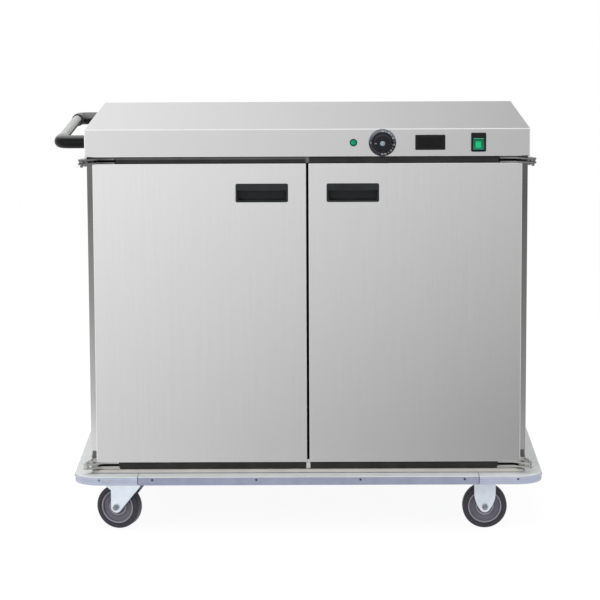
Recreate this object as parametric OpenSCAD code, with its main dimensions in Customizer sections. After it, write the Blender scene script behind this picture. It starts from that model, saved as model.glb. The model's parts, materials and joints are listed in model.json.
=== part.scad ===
// Heated two-door hostess trolley, in millimetres.
// +X runs away from the push handle, +Y towards the back, +Z up.
// The origin is on the floor, in the middle of the footprint (push handle included).

/* [Cabinet] */
// Width of the cabinet over its side panels
cabinet_w = 1034; // [900:1:1200]
// Height of the cabinet from the base to the underside of the cap
cabinet_h = 755; // [650:1:900]
// Thickness of the insulation in the side and back walls
insulation_t = 30; // [20:1:40]
// Thickness of the outer sheet
shell_t = 1.2; // [0.8:0.1:2]
// Thickness of the inner liner sheet
liner_t = 1; // [0.6:0.1:1.5]
// Height of the floor of the hot chamber above the base
chamber_floor = 48; // [36:1:60]
// Height of the chamber ceiling below the underside of the cap
chamber_drop = 39; // [30:1:50]
// Visible width of the frame beside each door
stile_margin = 15; // [10:1:20]
// Width of the post between the two doors
mullion_w = 36; // [34:1:44]
// Thickness of the partition between the two chambers
partition_t = 30; // [20:1:34]

/* [Top cap] */
// Overhang of the cap past each side of the cabinet
cap_side = 3; // [1:1:20]
// Depth of the cap, front to back
cap_d = 680; // [620:1:720]
// Height of the cap
cap_h = 65; // [65:1:90]
// Thickness of the cap sheet
cap_t = 1.2; // [0.8:0.1:2]

/* [Doors] */
// Thickness of a door without its gasket
door_t = 22; // [20:1:30]
// Distance of the door faces behind the front of the cap
door_setback = 5; // [2:1:10]
// Gap between the two doors
door_gap = 6; // [4:1:10]
// Height of a door's lower edge above the base
door_lift = 26; // [24:1:34]
// Distance from a door's upper edge to the cap
door_drop = 16.5; // [15.5:0.5:22]
// Thickness of the door sheet
door_sheet = 1; // [0.7:0.1:1.5]
// Thickness of the door gasket
gasket_t = 5; // [4:0.5:8]
// Width of the door gasket
gasket_w = 12; // [8:1:16]
// Width of the recessed pull
pull_w = 123; // [90:1:140]
// Height of the recessed pull
pull_h = 44; // [36:1:60]
// Depth of the recessed pull
pull_deep = 17; // [12:1:17]
// Distance from the pull to the free edge of its door
pull_inset = 42; // [30:1:80]
// Distance from the pull to the upper edge of its door
pull_drop = 47; // [30:1:80]

/* [Hinges] */
// Distance of the pivot outside the cabinet side
pivot_out = 9; // [8:0.5:14]
// Distance of the pivot in front of the door faces
pivot_front = 14; // [12:0.5:20]
// Diameter of the pivot pins
pin_d = 7; // [5:0.5:8]
// Thickness of the hinge plates
leaf_t = 4; // [3:0.5:5]
// Length of a hinge plate along the door edge
leaf_l = 52; // [40:1:80]
// Width of a hinge plate under the door
leaf_w = 18; // [12:1:18]

/* [Push handle] */
// Diameter of the handle arms
arm_d = 31; // [26:1:36]
// Diameter of the handle bar
bar_d = 23; // [20:1:27]
// Distance between the centre lines of the two arms
arm_span = 560; // [400:1:600]
// Distance the handle stands out from the cap
handle_out = 76; // [60:1:110]
// Distance of the handle below the middle of the cap
handle_drop = 2; // [0:1:10]
// Bend radius of the arms, to the centre line
arm_bend = 20; // [18:1:30]

/* [Base] */
// Distance the bumper stands out past each side of the cabinet
bumper_side = 38; // [36:1:90]
// Distance the bumper stands out past the front and back of the cap
bumper_front = 40; // [36:1:70]
// Corner radius of the bumper
base_r = 62; // [62:1:90]
// Width of the bumper profile
bumper_w = 40; // [32:1:44]
// Height of the bumper profile
bumper_h = 20; // [18:1:30]
// Length of a bumper corner along each side
corner_l = 151; // [100:1:200]
// Depth of the deck above the caster plates
deck_h = 12; // [10:1:20]

/* [Casters] */
// Diameter of the wheels
wheel_d = 106; // [90:1:110]
// Width of the wheels
wheel_w = 32; // [24:1:34]
// Height of a caster from the floor to the top of its plate
caster_h = 131; // [126:1:140]
// Distance of the casters inside the front and back of the bumper
caster_inset = 90; // [88:1:140]
// Distance of the swivel kingpins inside the end of the bumper
swivel_inset = 119; // [114:1:180]
// Distance of the fixed axles inside the end of the bumper
fixed_inset = 134; // [114:1:180]
// Distance from a kingpin to its axle
trail = 18; // [14:1:30]
// Angle at which the swivel casters stand
swivel_angle = -18; // [-60:1:60]

/* [Chamber] */
// Number of shelves in each chamber
shelf_count = 3; // [1:1:4]
// Distance between shelves
shelf_pitch = 150; // [120:1:160]
// Height of the lowest shelf above the chamber floor
shelf_first = 162; // [120:1:180]
// Diameter of the shelf frame rods
rod_d = 6; // [5:0.5:8]
// Diameter of the shelf wires
wire_d = 4; // [3:0.5:5]
// Number of wires across a shelf
wire_count = 12; // [6:1:20]
// Height of the heater covers above the chamber floor
cover_h = 34; // [28:1:50]
// Diameter of the heater tubes
heater_d = 8; // [6:0.5:10]

/* [Controls] */
// Distance of the pilot lamp from the middle of the cap
lamp_x = 108; // [60:1:120]
// Distance of the dial from the middle of the cap
dial_x = 175.5; // [160:0.5:200]
// Distance of the thermometer from the middle of the cap
display_x = 287; // [260:1:300]
// Distance of the switch from the middle of the cap
switch_x = 399.5; // [360:0.5:420]
// Diameter of the dial plate
dial_d = 64; // [56:1:64]
// Diameter of the knob
knob_d = 46; // [36:1:48]
// Height of the knob in front of the dial plate
knob_h = 19; // [14:1:22]
// Width of the thermometer
display_w = 70; // [60:1:80]
// Height of the thermometer
display_h = 35; // [28:1:40]
// Width of the switch
switch_w = 35; // [28:1:40]
// Height of the switch
switch_h = 44; // [36:1:50]
// Tilt of the rocker, switched on
rocker_tilt = 9; // [6:1:12]
// Distance of the cable gland from the middle of the cap
gland_x = 430; // [300:1:460]
// Diameter of the cable gland's bore
gland_d = 10; // [8:0.5:12]

/* [Hidden] */
$fn = 64;

LEFT = -1;
RIGHT = 1;
FRONT = -1;
REAR = 1;

eps = 1;              // how far a cutting shape runs past the face it cuts
running = 0.08;       // radial clearance of a turning fit
seat_gap = 0.3;       // clearance between a moving piece and what it rests against
strip_gap = 1;        // clearance between the door strips and what they face
strip_t = 3;          // thickness of the strips in front of the ledges

// heights
base_z = caster_h + deck_h;
cap_z = base_z + cabinet_h;
top_z = cap_z + cap_h;
panel_z = cap_z + cap_h / 2;
door_lo = base_z + door_lift;
door_hi = cap_z - door_drop;
chamber_lo = base_z + chamber_floor;
chamber_hi = cap_z - chamber_drop;

// whole sizes that follow from the cabinet and the cap
cap_w = cabinet_w + 2 * cap_side;
base_w = cabinet_w + 2 * bumper_side;
base_d = cap_d + 2 * bumper_front;

// front to back
cap_front = -cap_d / 2;
door_front = cap_front + door_setback;
door_back = door_front + door_t;
frame_y = door_back + gasket_t;
frame_t = 1.5;
cabinet_back = cap_d / 2 - 2;
chamber_back = cabinet_back - shell_t - insulation_t - liner_t;

// side to side, measured from the middle of the cabinet
side_x = cabinet_w / 2;
chamber_x = side_x - shell_t - insulation_t - liner_t;
door_out = side_x - stile_margin;
door_in = door_gap / 2;
handle_reach = cap_w / 2 + handle_out;
screw_head = 1.2;     // how far the bumper screws stand proud
centre_x = (handle_reach - base_w / 2 - screw_head) / 2;

// hinges
pivot_x = side_x + pivot_out;
pivot_y = door_front - pivot_front;
leaf_in = door_out - leaf_l;
hinge_gap = 5.5;      // height between a door leaf and its bracket
hinge_front = door_front + 3;
leaf_end_r = pin_d / 2 + 4.5;
boss_r = 6.75;
pin_rise = 15;        // how far a pin stands out of its bracket
ledge_t = 3.5;
bracket_lo = door_lo - leaf_t - hinge_gap - leaf_t;
sill_z = bracket_lo - ledge_t;
head_z = cap_z - ledge_t;
bracket_hi = head_z - leaf_t;

// deck and bumper
deck_x = base_w / 2 - bumper_w;
deck_y = base_d / 2 - bumper_w;
deck_r = base_r - bumper_w;
deck_t = 2;
bumper_z = base_z - bumper_h;
bumper_wall = 3;
bumper_nose = 1.5;
bumper_joint = 1.5;
beam_w = 104;
screw_r = 2.6;
shank_r = 1.6;
rail_screws = [-369, -123, 123, 369];
end_screws = [-150, 150];
corner_screw = 60;    // distance of a corner's screws inside the bumper's ends

// casters
swivel_x = base_w / 2 - swivel_inset;
fixed_x = base_w / 2 - fixed_inset;
caster_y = base_d / 2 - caster_inset;
axle_z = wheel_d / 2;
plate_t = 3;
plate_x = 100;
plate_y = 84;
bolt_x = 80;
bolt_y = 62;
bolt_r = 4;
fork_t = 3;
web_z = caster_h - 18;
web_front = 43;
web_back = 30;        // how far the fork reaches behind its axle
race_r = 30;
leg_in = wheel_w / 2 + 3.5;
leg_out = leg_in + fork_t;
leg_r = 13;
sleeve_r = 6;
axle_r = 4;
kingpin_r = 6;
hub_r = wheel_d / 2 - 13;

// chamber
shelf_zs = [for (i = [0:shelf_count - 1]) chamber_lo + shelf_first + i * shelf_pitch];
runner_t = 1.5;
runner_w = 18;
runner_h = 16;
runner_inset = 36;
runner_front = frame_y + runner_inset;
shelf_in = mullion_w / 2 + 1;
shelf_out = chamber_x - 1.5;
shelf_front = runner_front - 10;
shelf_back = chamber_back - 6;
mullion_d = 28;
heater_inset = 120;   // distance of the heater's straight tubes inside the front and back
heater_rise = 16;
heater_pitch = 60;
cover_w = 300;
cover_front = 70;
cover_back = 60;

// controls
panel_y = cap_front;
thermostat_w = 44;
thermostat_d = 28;
display_deep = 42;
switch_deep = 26;
bush_r = 4.75;
shaft_r = 3;
dial_t = 5;
knob_back = panel_y - dial_t - seat_gap;
lamp_r = 8.85;
window_w = display_w - 14;
window_h = display_h - 13;
hood_t = 4.5;
rocker_w = switch_w - 9.5;
rocker_r = switch_h / 2 - 6.7;
rocker_z = panel_z - 4.4;
rocker_y = panel_y + 4;

// push handle
arm_x = handle_reach - arm_d / 2;
bar_x = handle_reach - bar_d / 2 - 1.5;
handle_z = panel_z - handle_drop;
bar_seat = 20;        // depth of the bar in its sockets

// ---------- helpers ----------

// A box between two opposite corners.
module span(a, b) {
    translate(a) cube(b - a);
}

// Everything is drawn about the middle of the cabinet, then set on the footprint's centre.
module place() {
    translate([centre_x, 0, 0]) children();
}

// Right-hand pieces are drawn once and mirrored for the left.
module side(s) {
    if (s == LEFT) mirror([1, 0, 0]) children();
    else children();
}

module both_ways(axis) {
    children();
    mirror(axis) children();
}

// Rounded rectangle with true arcs, centred.
module rounded_rect(w, h, r) {
    square([w - 2 * r, h], center = true);
    square([w, h - 2 * r], center = true);
    for (x = [-1, 1], y = [-1, 1]) translate([x * (w / 2 - r), y * (h / 2 - r)]) circle(r);
}

// Where a line from q touches the circle of radius r about c, on the side given by s.
function touch(q, c, r, s) =
    let (d = q - c, a = atan2(d.y, d.x) + s * acos(r / norm(d))) c + r * [cos(a), sin(a)];

// A round piece that points forwards from y0 to y1.
module forward(r, y0, y1) {
    translate([0, y0, 0]) rotate([90, 0, 0]) cylinder(r = r, h = y0 - y1);
}

// A flat outline standing on the panel, from y0 forwards to y1.
module forward_plate(y0, y1) {
    translate([0, y0, 0]) rotate([90, 0, 0]) linear_extrude(y0 - y1) children();
}

module hexagon(flats, h) {
    cylinder(r = flats / sqrt(3), h = h, $fn = 6);
}

// ---------- base ----------

module base_deck() {
    color("silver") difference() {
        union() {
            difference() {
                translate([0, 0, bumper_z + 2]) linear_extrude(bumper_h - 2)
                    rounded_rect(2 * deck_x, 2 * deck_y, deck_r);
                translate([0, 0, bumper_z]) linear_extrude(bumper_h - deck_t)
                    rounded_rect(2 * (deck_x - deck_t), 2 * (deck_y - deck_t), deck_r - deck_t);
            }
            for (x = [-swivel_x, fixed_x]) deck_beam(x);
        }
        for (s = [LEFT, RIGHT], e = [FRONT, REAR]) at_caster(s, e) bolt_places()
            translate([0, 0, caster_h - eps]) cylinder(r = bolt_r + 0.3, h = deck_t + 2 * eps);
    }
}

// A channel under the deck that carries one front and one rear caster.
module deck_beam(x) {
    difference() {
        span([x - beam_w / 2, -deck_y + deck_t, caster_h],
             [x + beam_w / 2, deck_y - deck_t, base_z - deck_t]);
        span([x - beam_w / 2 + deck_t, -deck_y, caster_h + deck_t],
             [x + beam_w / 2 - deck_t, deck_y, base_z - deck_t + eps]);
    }
}

// Bumper section: x runs outwards from the deck, y is the height above the underside.
module bumper_section(grooved) {
    difference() {
        union() {
            square([bumper_w - bumper_nose, bumper_h]);
            translate([0, bumper_nose]) square([bumper_w, bumper_h - 2 * bumper_nose]);
            for (y = [bumper_nose, bumper_h - bumper_nose])
                translate([bumper_w - bumper_nose, y]) circle(bumper_nose);
        }
        translate([bumper_wall, bumper_wall])
            square([bumper_w - 2 * bumper_wall, bumper_h - 2 * bumper_wall]);
        if (grooved) for (y = [0.34, 0.56])
            translate([bumper_w + 0.5, bumper_h * y]) circle(1.3, $fn = 24);
    }
}

module bumper_run(length, grooved) {
    rotate([90, 0, 90]) linear_extrude(length) bumper_section(grooved);
}

// One corner, for the +X +Y quarter.
module bumper_corner() {
    leg = corner_l - base_r;
    bend = [base_w / 2 - base_r, base_d / 2 - base_r, bumper_z];
    translate(bend) rotate_extrude(angle = 90) translate([deck_r, 0]) bumper_section(true);
    translate([bend.x - leg, deck_y, bumper_z]) bumper_run(leg, true);
    translate([deck_x, bend.y, bumper_z]) rotate([0, 0, -90]) bumper_run(leg, true);
}

module bumper_corners() {
    color("gainsboro") difference() {
        both_ways([1, 0, 0]) both_ways([0, 1, 0]) bumper_corner();
        screw_places() screw_hole();
    }
}

module bumper_rails() {
    long = base_w - 2 * corner_l - 2 * bumper_joint;
    short = base_d - 2 * corner_l - 2 * bumper_joint;
    color("lightsteelblue") difference() {
        union() {
            both_ways([0, 1, 0]) translate([-long / 2, deck_y, bumper_z]) bumper_run(long, false);
            both_ways([1, 0, 0]) translate([deck_x, short / 2, bumper_z])
                rotate([0, 0, -90]) bumper_run(short, false);
        }
        screw_places() screw_hole();
    }
}

// Puts a piece that points along +Y on each screw's place on the face of the bumper.
module screw_places() {
    corner_x = base_w / 2 - corner_screw;
    corner_y = base_d / 2 - corner_screw;
    translate([0, 0, bumper_z + 0.66 * bumper_h]) {
        both_ways([0, 1, 0]) for (x = concat([-corner_x, corner_x], rail_screws))
            translate([x, base_d / 2, 0]) children();
        both_ways([1, 0, 0]) for (y = concat([-corner_y, corner_y], end_screws))
            translate([base_w / 2, y, 0]) rotate([0, 0, -90]) children();
    }
}

module screw_hole() {
    rotate([-90, 0, 0]) translate([0, 0, -12]) cylinder(r = shank_r + 0.1, h = 14, $fn = 24);
}

module bumper_screws() {
    color("dimgray") screw_places() rotate([-90, 0, 0]) {
        cylinder(r = screw_r, h = screw_head, $fn = 32);
        translate([0, 0, -9]) cylinder(r = shank_r, h = 9.5, $fn = 24);
    }
}

// ---------- casters ----------

module at_caster(s, e) {
    translate([s == LEFT ? -swivel_x : fixed_x, e * caster_y, 0]) children();
}

// The swivel casters stand turned, with the axle trailing to the left.
module at_swivel(e) {
    at_caster(LEFT, e) rotate([0, 0, -e * swivel_angle]) children();
}

module bolt_places() {
    for (x = [-1, 1], y = [-1, 1]) translate([x * bolt_x / 2, y * bolt_y / 2, 0]) children();
}

module caster_plate_blank() {
    difference() {
        span([-plate_x / 2, -plate_y / 2, caster_h - plate_t], [plate_x / 2, plate_y / 2, caster_h]);
        bolt_places() translate([0, 0, caster_h - plate_t - eps])
            cylinder(r = bolt_r + 0.3, h = plate_t + 2 * eps);
    }
}

module caster_bolt() {
    translate([0, 0, caster_h - plate_t - 5.3]) hexagon(13, 5.3);
    translate([0, 0, caster_h - plate_t - eps]) cylinder(r = bolt_r, h = plate_t + deck_t + 7 + eps);
    translate([0, 0, caster_h + deck_t]) hexagon(13, 6);
}

module caster_bolts() {
    color("silver") for (s = [LEFT, RIGHT], e = [FRONT, REAR])
        at_caster(s, e) bolt_places() caster_bolt();
}

// Top plate of a swivel caster with its upper race and the riveted kingpin.
module caster_plate(e) {
    race_z = web_z + fork_t + 5;
    color("lightsteelblue") at_caster(LEFT, e) {
        caster_plate_blank();
        translate([0, 0, race_z]) cylinder(r = race_r, h = caster_h - plate_t - race_z + 0.5);
        translate([0, 0, web_z - 2]) cylinder(r = kingpin_r, h = caster_h - web_z);
        translate([0, 0, web_z - 4]) cylinder(r = kingpin_r + 4, h = 4 - seat_gap);
    }
}

// Outline of a swivel leg, seen along the axle, with x towards the trailing side.
module swivel_leg() {
    c = [trail, axle_z];
    front = [-web_front, web_z - 6];
    difference() {
        union() {
            polygon([
                [-web_front, web_z + fork_t], [trail + web_back, web_z + fork_t],
                [trail + web_back, web_z - 7], [trail + leg_r, web_z - 19], [trail + leg_r, axle_z],
                c, touch(front, c, leg_r, 1), front
            ]);
            translate(c) circle(leg_r);
        }
        translate(c) circle(axle_r + 0.05);
    }
}

module swivel_fork(e) {
    color("lightsteelblue") at_swivel(e) difference() {
        union() {
            both_ways([0, 1, 0]) mirror([1, 0, 0]) translate([0, leg_out, 0])
                rotate([90, 0, 0]) linear_extrude(fork_t) swivel_leg();
            span([-trail - web_back, -leg_out, web_z], [web_front, leg_out, web_z + fork_t]);
            translate([0, 0, web_z]) cylinder(r = race_r, h = fork_t + 5 - seat_gap);
        }
        translate([0, 0, web_z - eps]) cylinder(r = kingpin_r + running, h = 20);
    }
}

// Outline of a fixed leg, a tongue between two large arcs with a round end.
module fixed_leg() {
    w = 25.5;
    rise = 35;
    big = (w * w + rise * rise - leg_r * leg_r) / (2 * (w - leg_r));
    foot = leg_r * rise / (big - leg_r);
    top = caster_h - plate_t;
    difference() {
        union() {
            translate([-w, axle_z + rise]) square([2 * w, top - axle_z - rise + 0.5]);
            intersection() {
                translate([w - big, axle_z + rise]) circle(big, $fn = 160);
                translate([big - w, axle_z + rise]) circle(big, $fn = 160);
                translate([-w, axle_z - foot]) square([2 * w, rise + foot + 0.5]);
            }
            translate([0, axle_z]) circle(leg_r);
        }
        translate([0, axle_z]) circle(axle_r + 0.05);
    }
}

module fixed_fork(e) {
    color("lightsteelblue") at_caster(RIGHT, e) {
        caster_plate_blank();
        both_ways([0, 1, 0]) translate([0, leg_out, 0])
            rotate([90, 0, 0]) linear_extrude(fork_t) fixed_leg();
    }
}

// Puts a piece drawn about the wheel's centre, with its axis along Z, in a caster.
module at_wheel(s, e) {
    if (s == LEFT) at_swivel(e) translate([-trail, 0, axle_z]) rotate([90, 0, 0]) children();
    else at_caster(RIGHT, e) translate([0, 0, axle_z]) rotate([90, 0, 0]) children();
}

module wheel_tyre(s, e) {
    shoulder = 6;
    color("dimgray") at_wheel(s, e) rotate_extrude($fn = 96) {
        translate([hub_r, -wheel_w / 2]) square([wheel_d / 2 - shoulder - hub_r, wheel_w]);
        translate([hub_r, -wheel_w / 2 + shoulder]) square([wheel_d / 2 - hub_r, wheel_w - 2 * shoulder]);
        for (y = [-1, 1])
            translate([wheel_d / 2 - shoulder, y * (wheel_w / 2 - shoulder)]) circle(shoulder);
    }
}

module wheel_hub(s, e) {
    bore = sleeve_r + running;
    color("gray") at_wheel(s, e) rotate_extrude($fn = 96) {
        translate([bore, seat_gap - leg_in]) square([5, 2 * (leg_in - seat_gap)]);
        translate([bore, -wheel_w / 2 + 6]) square([14, wheel_w - 12]);
        translate([bore, -5]) square([hub_r - bore - 1, 10]);
        translate([hub_r - 4, -wheel_w / 2 + 1]) square([4, wheel_w - 2]);
    }
}

// Bolt, nut and the sleeve on which the wheel turns.
module wheel_axle(s, e) {
    color("silver") at_wheel(s, e) {
        translate([0, 0, -leg_in]) cylinder(r = sleeve_r, h = 2 * leg_in);
        translate([0, 0, -leg_out - eps]) cylinder(r = axle_r, h = 2 * leg_out + 9);
        translate([0, 0, -leg_out - 5.5]) hexagon(13, 5.5);
        translate([0, 0, leg_out]) hexagon(13, 6.5);
    }
}

// ---------- cabinet ----------

module outer_shell() {
    panel_back = cabinet_back - shell_t - 0.1;
    color("silver") {
        both_ways([1, 0, 0])
            span([side_x - shell_t, frame_y + frame_t, base_z], [side_x, panel_back, cap_z]);
        span([-side_x, cabinet_back - shell_t, base_z], [side_x, cabinet_back, cap_z]);
    }
}

module inner_liner() {
    front = frame_y + frame_t;
    lap = 0.1;
    color("lightgray") {
        both_ways([1, 0, 0])
            span([chamber_x, front, chamber_lo], [chamber_x + liner_t, chamber_back, chamber_hi]);
        span([-chamber_x - liner_t, chamber_back + lap, chamber_lo],
             [chamber_x + liner_t, chamber_back + liner_t, chamber_hi]);
        span([-chamber_x - liner_t, front, chamber_lo - liner_t],
             [chamber_x + liner_t, chamber_back + liner_t, chamber_lo - lap]);
        span([-chamber_x - liner_t, front, chamber_hi + lap],
             [chamber_x + liner_t, chamber_back + liner_t, chamber_hi + liner_t]);
    }
}

module insulation() {
    front = frame_y + frame_t;
    wall = chamber_x + liner_t;
    back = chamber_back + liner_t;
    color("khaki") {
        both_ways([1, 0, 0]) span([wall, front, base_z], [side_x - shell_t, back, cap_z]);
        span([-side_x + shell_t, back, base_z], [side_x - shell_t, cabinet_back - shell_t, cap_z]);
        span([-wall, front, base_z], [wall, back, chamber_lo - liner_t]);
        span([-wall, front, chamber_hi + liner_t], [wall, back, cap_z]);
    }
}

// Stiles, rails and post around the two openings, with a ledge above and below the doors.
module front_frame() {
    back = frame_y + frame_t;
    joint = 0.1;
    ledge_x = side_x - 5;
    color("silver") {
        both_ways([1, 0, 0]) span([chamber_x, frame_y, base_z], [side_x, back, cap_z]);
        span([-chamber_x + joint, frame_y, base_z], [chamber_x - joint, back, chamber_lo]);
        span([-chamber_x + joint, frame_y, chamber_hi], [chamber_x - joint, back, cap_z]);
        difference() {
            span([-mullion_w / 2, frame_y, chamber_lo + joint],
                 [mullion_w / 2, frame_y + mullion_d, chamber_hi - joint]);
            span([-mullion_w / 2 + frame_t, back, chamber_lo],
                 [mullion_w / 2 - frame_t, frame_y + mullion_d - frame_t, chamber_hi]);
        }
        for (z = [sill_z, head_z])
            span([-ledge_x, hinge_front + strip_t + strip_gap, z],
                 [ledge_x, frame_y - joint, z + ledge_t]);
    }
}

module centre_partition() {
    color("lightgray") span([-partition_t / 2, frame_y + mullion_d, chamber_lo],
                            [partition_t / 2, chamber_back, chamber_hi]);
}

// Right-hand runner that carries a shelf at its outer edge, top face at height z.
module runner(wall, into, z) {
    x0 = min(wall, wall + into * runner_w);
    leg0 = min(wall, wall + into * runner_t);
    span([x0, runner_front, z - runner_t], [x0 + runner_w, shelf_back, z]);
    span([leg0, runner_front, z - runner_h], [leg0 + runner_t, shelf_back, z]);
}

module shelf_runners() {
    color("silver") both_ways([1, 0, 0]) for (z = shelf_zs) {
        runner(chamber_x, -1, z);
        runner(partition_t / 2, 1, z);
    }
}

// A wire shelf for the right-hand chamber, standing at height z.
module shelf(z) {
    r = rod_d / 2;
    w = wire_d / 2;
    x0 = shelf_in + r;
    x1 = shelf_out - r;
    y0 = shelf_front + r;
    y1 = shelf_back - r;
    rod_z = z + r + 0.05;
    wire_z = z + rod_d + w - 1;
    pitch = (x1 - x0) / (wire_count + 1);
    over = 0.6;
    for (x = [x0, x1]) translate([x, y0 - r, rod_z])
        rotate([-90, 0, 0]) cylinder(r = r, h = y1 - y0 + 2 * r, $fn = 24);
    for (y = [y0, (y0 + y1) / 2, y1]) translate([x0, y, rod_z])
        rotate([0, 90, 0]) cylinder(r = r - 0.4, h = x1 - x0, $fn = 24);
    for (i = [1:wire_count]) translate([x0 + i * pitch, y0 - over, wire_z])
        rotate([-90, 0, 0]) cylinder(r = w, h = y1 - y0 + 2 * over, $fn = 16);
}

module shelves(s) {
    color("lightgray") side(s) for (z = shelf_zs) shelf(z);
}

// Return bend of the heater, a little thicker than the tube that it joins.
module heater_bend(r) {
    rotate_extrude(angle = 180, $fn = 48) translate([heater_pitch / 2, 0]) circle(r, $fn = 24);
}

// Serpentine tube for the right-hand chamber, on four feet.
module heater() {
    r = heater_d / 2;
    z = chamber_lo + heater_rise;
    mid = (partition_t / 2 + chamber_x) / 2;
    pitch = heater_pitch;
    run = [frame_y + heater_inset, chamber_back - heater_inset];
    over = 0.5;
    for (i = [-1.5:1:1.5]) translate([mid + i * pitch, run[0] - over, z])
        rotate([-90, 0, 0]) cylinder(r = r, h = run[1] - run[0] + 2 * over, $fn = 24);
    for (i = [-1, 1]) translate([mid + i * pitch, run[1], z]) heater_bend(r + 0.3);
    translate([mid, run[0], z]) rotate([0, 0, 180]) heater_bend(r + 0.3);
    for (i = [-1.5, 1.5]) translate([mid + i * pitch, run[0] + 2 * r, chamber_lo]) {
        cylinder(r = r - 0.6, h = z - chamber_lo, $fn = 24);
        cylinder(r = r + 3, h = 4, $fn = 24);
    }
    for (i = [-1, 1]) translate([mid + i * pitch, run[1] + pitch / 2, chamber_lo])
        cylinder(r = 2.5, h = z - chamber_lo, $fn = 24);
}

module heater_elements() {
    color("dimgray") both_ways([1, 0, 0]) heater();
}

// Slotted sheet cover over the heater.
module heater_cover() {
    mid = (partition_t / 2 + chamber_x) / 2;
    half = cover_w / 2;
    y0 = frame_y + cover_front;
    y1 = chamber_back - cover_back;
    slots = 9;
    pitch = (y1 - y0) / (slots + 1);
    difference() {
        span([mid - half, y0, chamber_lo], [mid + half, y1, chamber_lo + cover_h]);
        span([mid - half + 1, y0 + 1, chamber_lo - eps],
             [mid + half - 1, y1 - 1, chamber_lo + cover_h - 1]);
        for (i = [1:slots]) span([mid - half + 30, y0 + i * pitch - 5, chamber_lo + cover_h - 2],
                                 [mid + half - 30, y0 + i * pitch + 5, chamber_lo + cover_h + eps]);
    }
}

module heater_covers() {
    color("lightgray") both_ways([1, 0, 0]) heater_cover();
}

// ---------- top cap ----------

module top_cap() {
    color("silver") difference() {
        span([-cap_w / 2, -cap_d / 2, cap_z], [cap_w / 2, cap_d / 2, top_z]);
        span([-cap_w / 2 + cap_t, -cap_d / 2 + cap_t, cap_z + cap_t],
             [cap_w / 2 - cap_t, cap_d / 2 - cap_t, top_z - cap_t]);
        panel_cuts();
        translate([gland_x, cap_d / 2 + eps, panel_z]) forward(gland_d / 2 + 4.2, 0, -cap_t - 2 * eps);
    }
}

module panel_cuts() {
    y0 = panel_y + cap_t + eps;
    y1 = panel_y - eps;
    translate([lamp_x, 0, panel_z]) forward(lamp_r - 2.8, y0, y1);
    translate([dial_x, 0, panel_z]) forward(bush_r + 0.1, y0, y1);
    translate([display_x, 0, panel_z]) forward_plate(y0, y1)
        square([display_w - 3.6, display_h - 3.6], center = true);
    translate([switch_x, 0, panel_z]) forward_plate(y0, y1)
        square([switch_w - 3.6, switch_h - 3.6], center = true);
}

// ---------- controls ----------

module thermostat() {
    y0 = panel_y + cap_t;
    color("dimgray") translate([dial_x, 0, panel_z]) difference() {
        union() {
            forward_plate(y0 + thermostat_d, y0) rounded_rect(thermostat_w, thermostat_w, 4);
            forward(bush_r, y0 + 1, panel_y - dial_t + 0.2);
        }
        forward(shaft_r + running, y0 + 0.7 * thermostat_d, panel_y - dial_t - eps);
    }
}

// Fixed plate behind the knob, with a raised outer edge.
module dial_plate() {
    r = dial_d / 2;
    color("dimgray") translate([dial_x, panel_y, panel_z]) rotate([90, 0, 0]) difference() {
        union() {
            cylinder(r = r, h = dial_t - 1.5);
            cylinder(r1 = r - 0.6, r2 = r - 1.8, h = dial_t - 0.3);
            cylinder(r = knob_d / 2 - 1, h = dial_t);
        }
        translate([0, 0, -eps]) cylinder(r = bush_r + 0.1, h = dial_t + 2 * eps);
    }
}

// Knob with a fluted grip, its pointer at nine o'clock, and the shaft behind it.
module dial_knob() {
    r = knob_d / 2;
    flutes = 30;
    color("darkslategray") translate([dial_x, knob_back, panel_z]) rotate([90, 0, 0]) {
        difference() {
            union() {
                cylinder(r = r, h = 4);
                cylinder(r1 = r - 1, r2 = r - 3, h = knob_h - 3);
                cylinder(r1 = r - 3, r2 = r - 5.5, h = knob_h);
            }
            for (i = [0:flutes - 1]) rotate((i + 0.5) * 360 / flutes) translate([r - 0.4, 0, 5])
                cylinder(r = 1.3, h = knob_h, $fn = 16);
            translate([0, 0, knob_h - 1.2]) cylinder(r = r - 8, h = 2);
        }
        translate([-r + 6.5, -1.1, knob_h - 4]) cube([7, 2.2, 4.6]);
        translate([0, 0, -20]) cylinder(r = shaft_r, h = 21);
    }
}

module pilot_lamp() {
    y0 = panel_y + cap_t;
    color("green") translate([lamp_x, 0, panel_z]) {
        forward(lamp_r - 3, y0 + 22, panel_y - 1);
        forward(lamp_r + 1.5, y0 + 3, y0);
        difference() {
            forward(lamp_r, panel_y, panel_y - 2.6);
            forward(lamp_r - 2.2, panel_y - 1.4, panel_y - 3);
        }
        translate([0, panel_y - 0.9, 0]) rotate([90, 0, 0]) rotate_extrude() intersection() {
            translate([0, -7.2]) circle(11.2);
            square([lamp_r - 2.4, 6]);
        }
    }
}

module display_body() {
    color("dimgray") translate([display_x, 0, panel_z]) difference() {
        union() {
            forward_plate(panel_y, panel_y - 3) rounded_rect(display_w, display_h, 2);
            forward_plate(panel_y + display_deep, panel_y)
                square([display_w - 4, display_h - 4], center = true);
        }
        forward_plate(panel_y - 2, panel_y - 3 - eps) square([window_w, window_h], center = true);
    }
}

module display_window() {
    color("black") translate([display_x, 0, panel_z]) forward_plate(panel_y - 2, panel_y - 2.8)
        square([window_w - 0.2, window_h - 0.2], center = true);
}

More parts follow.
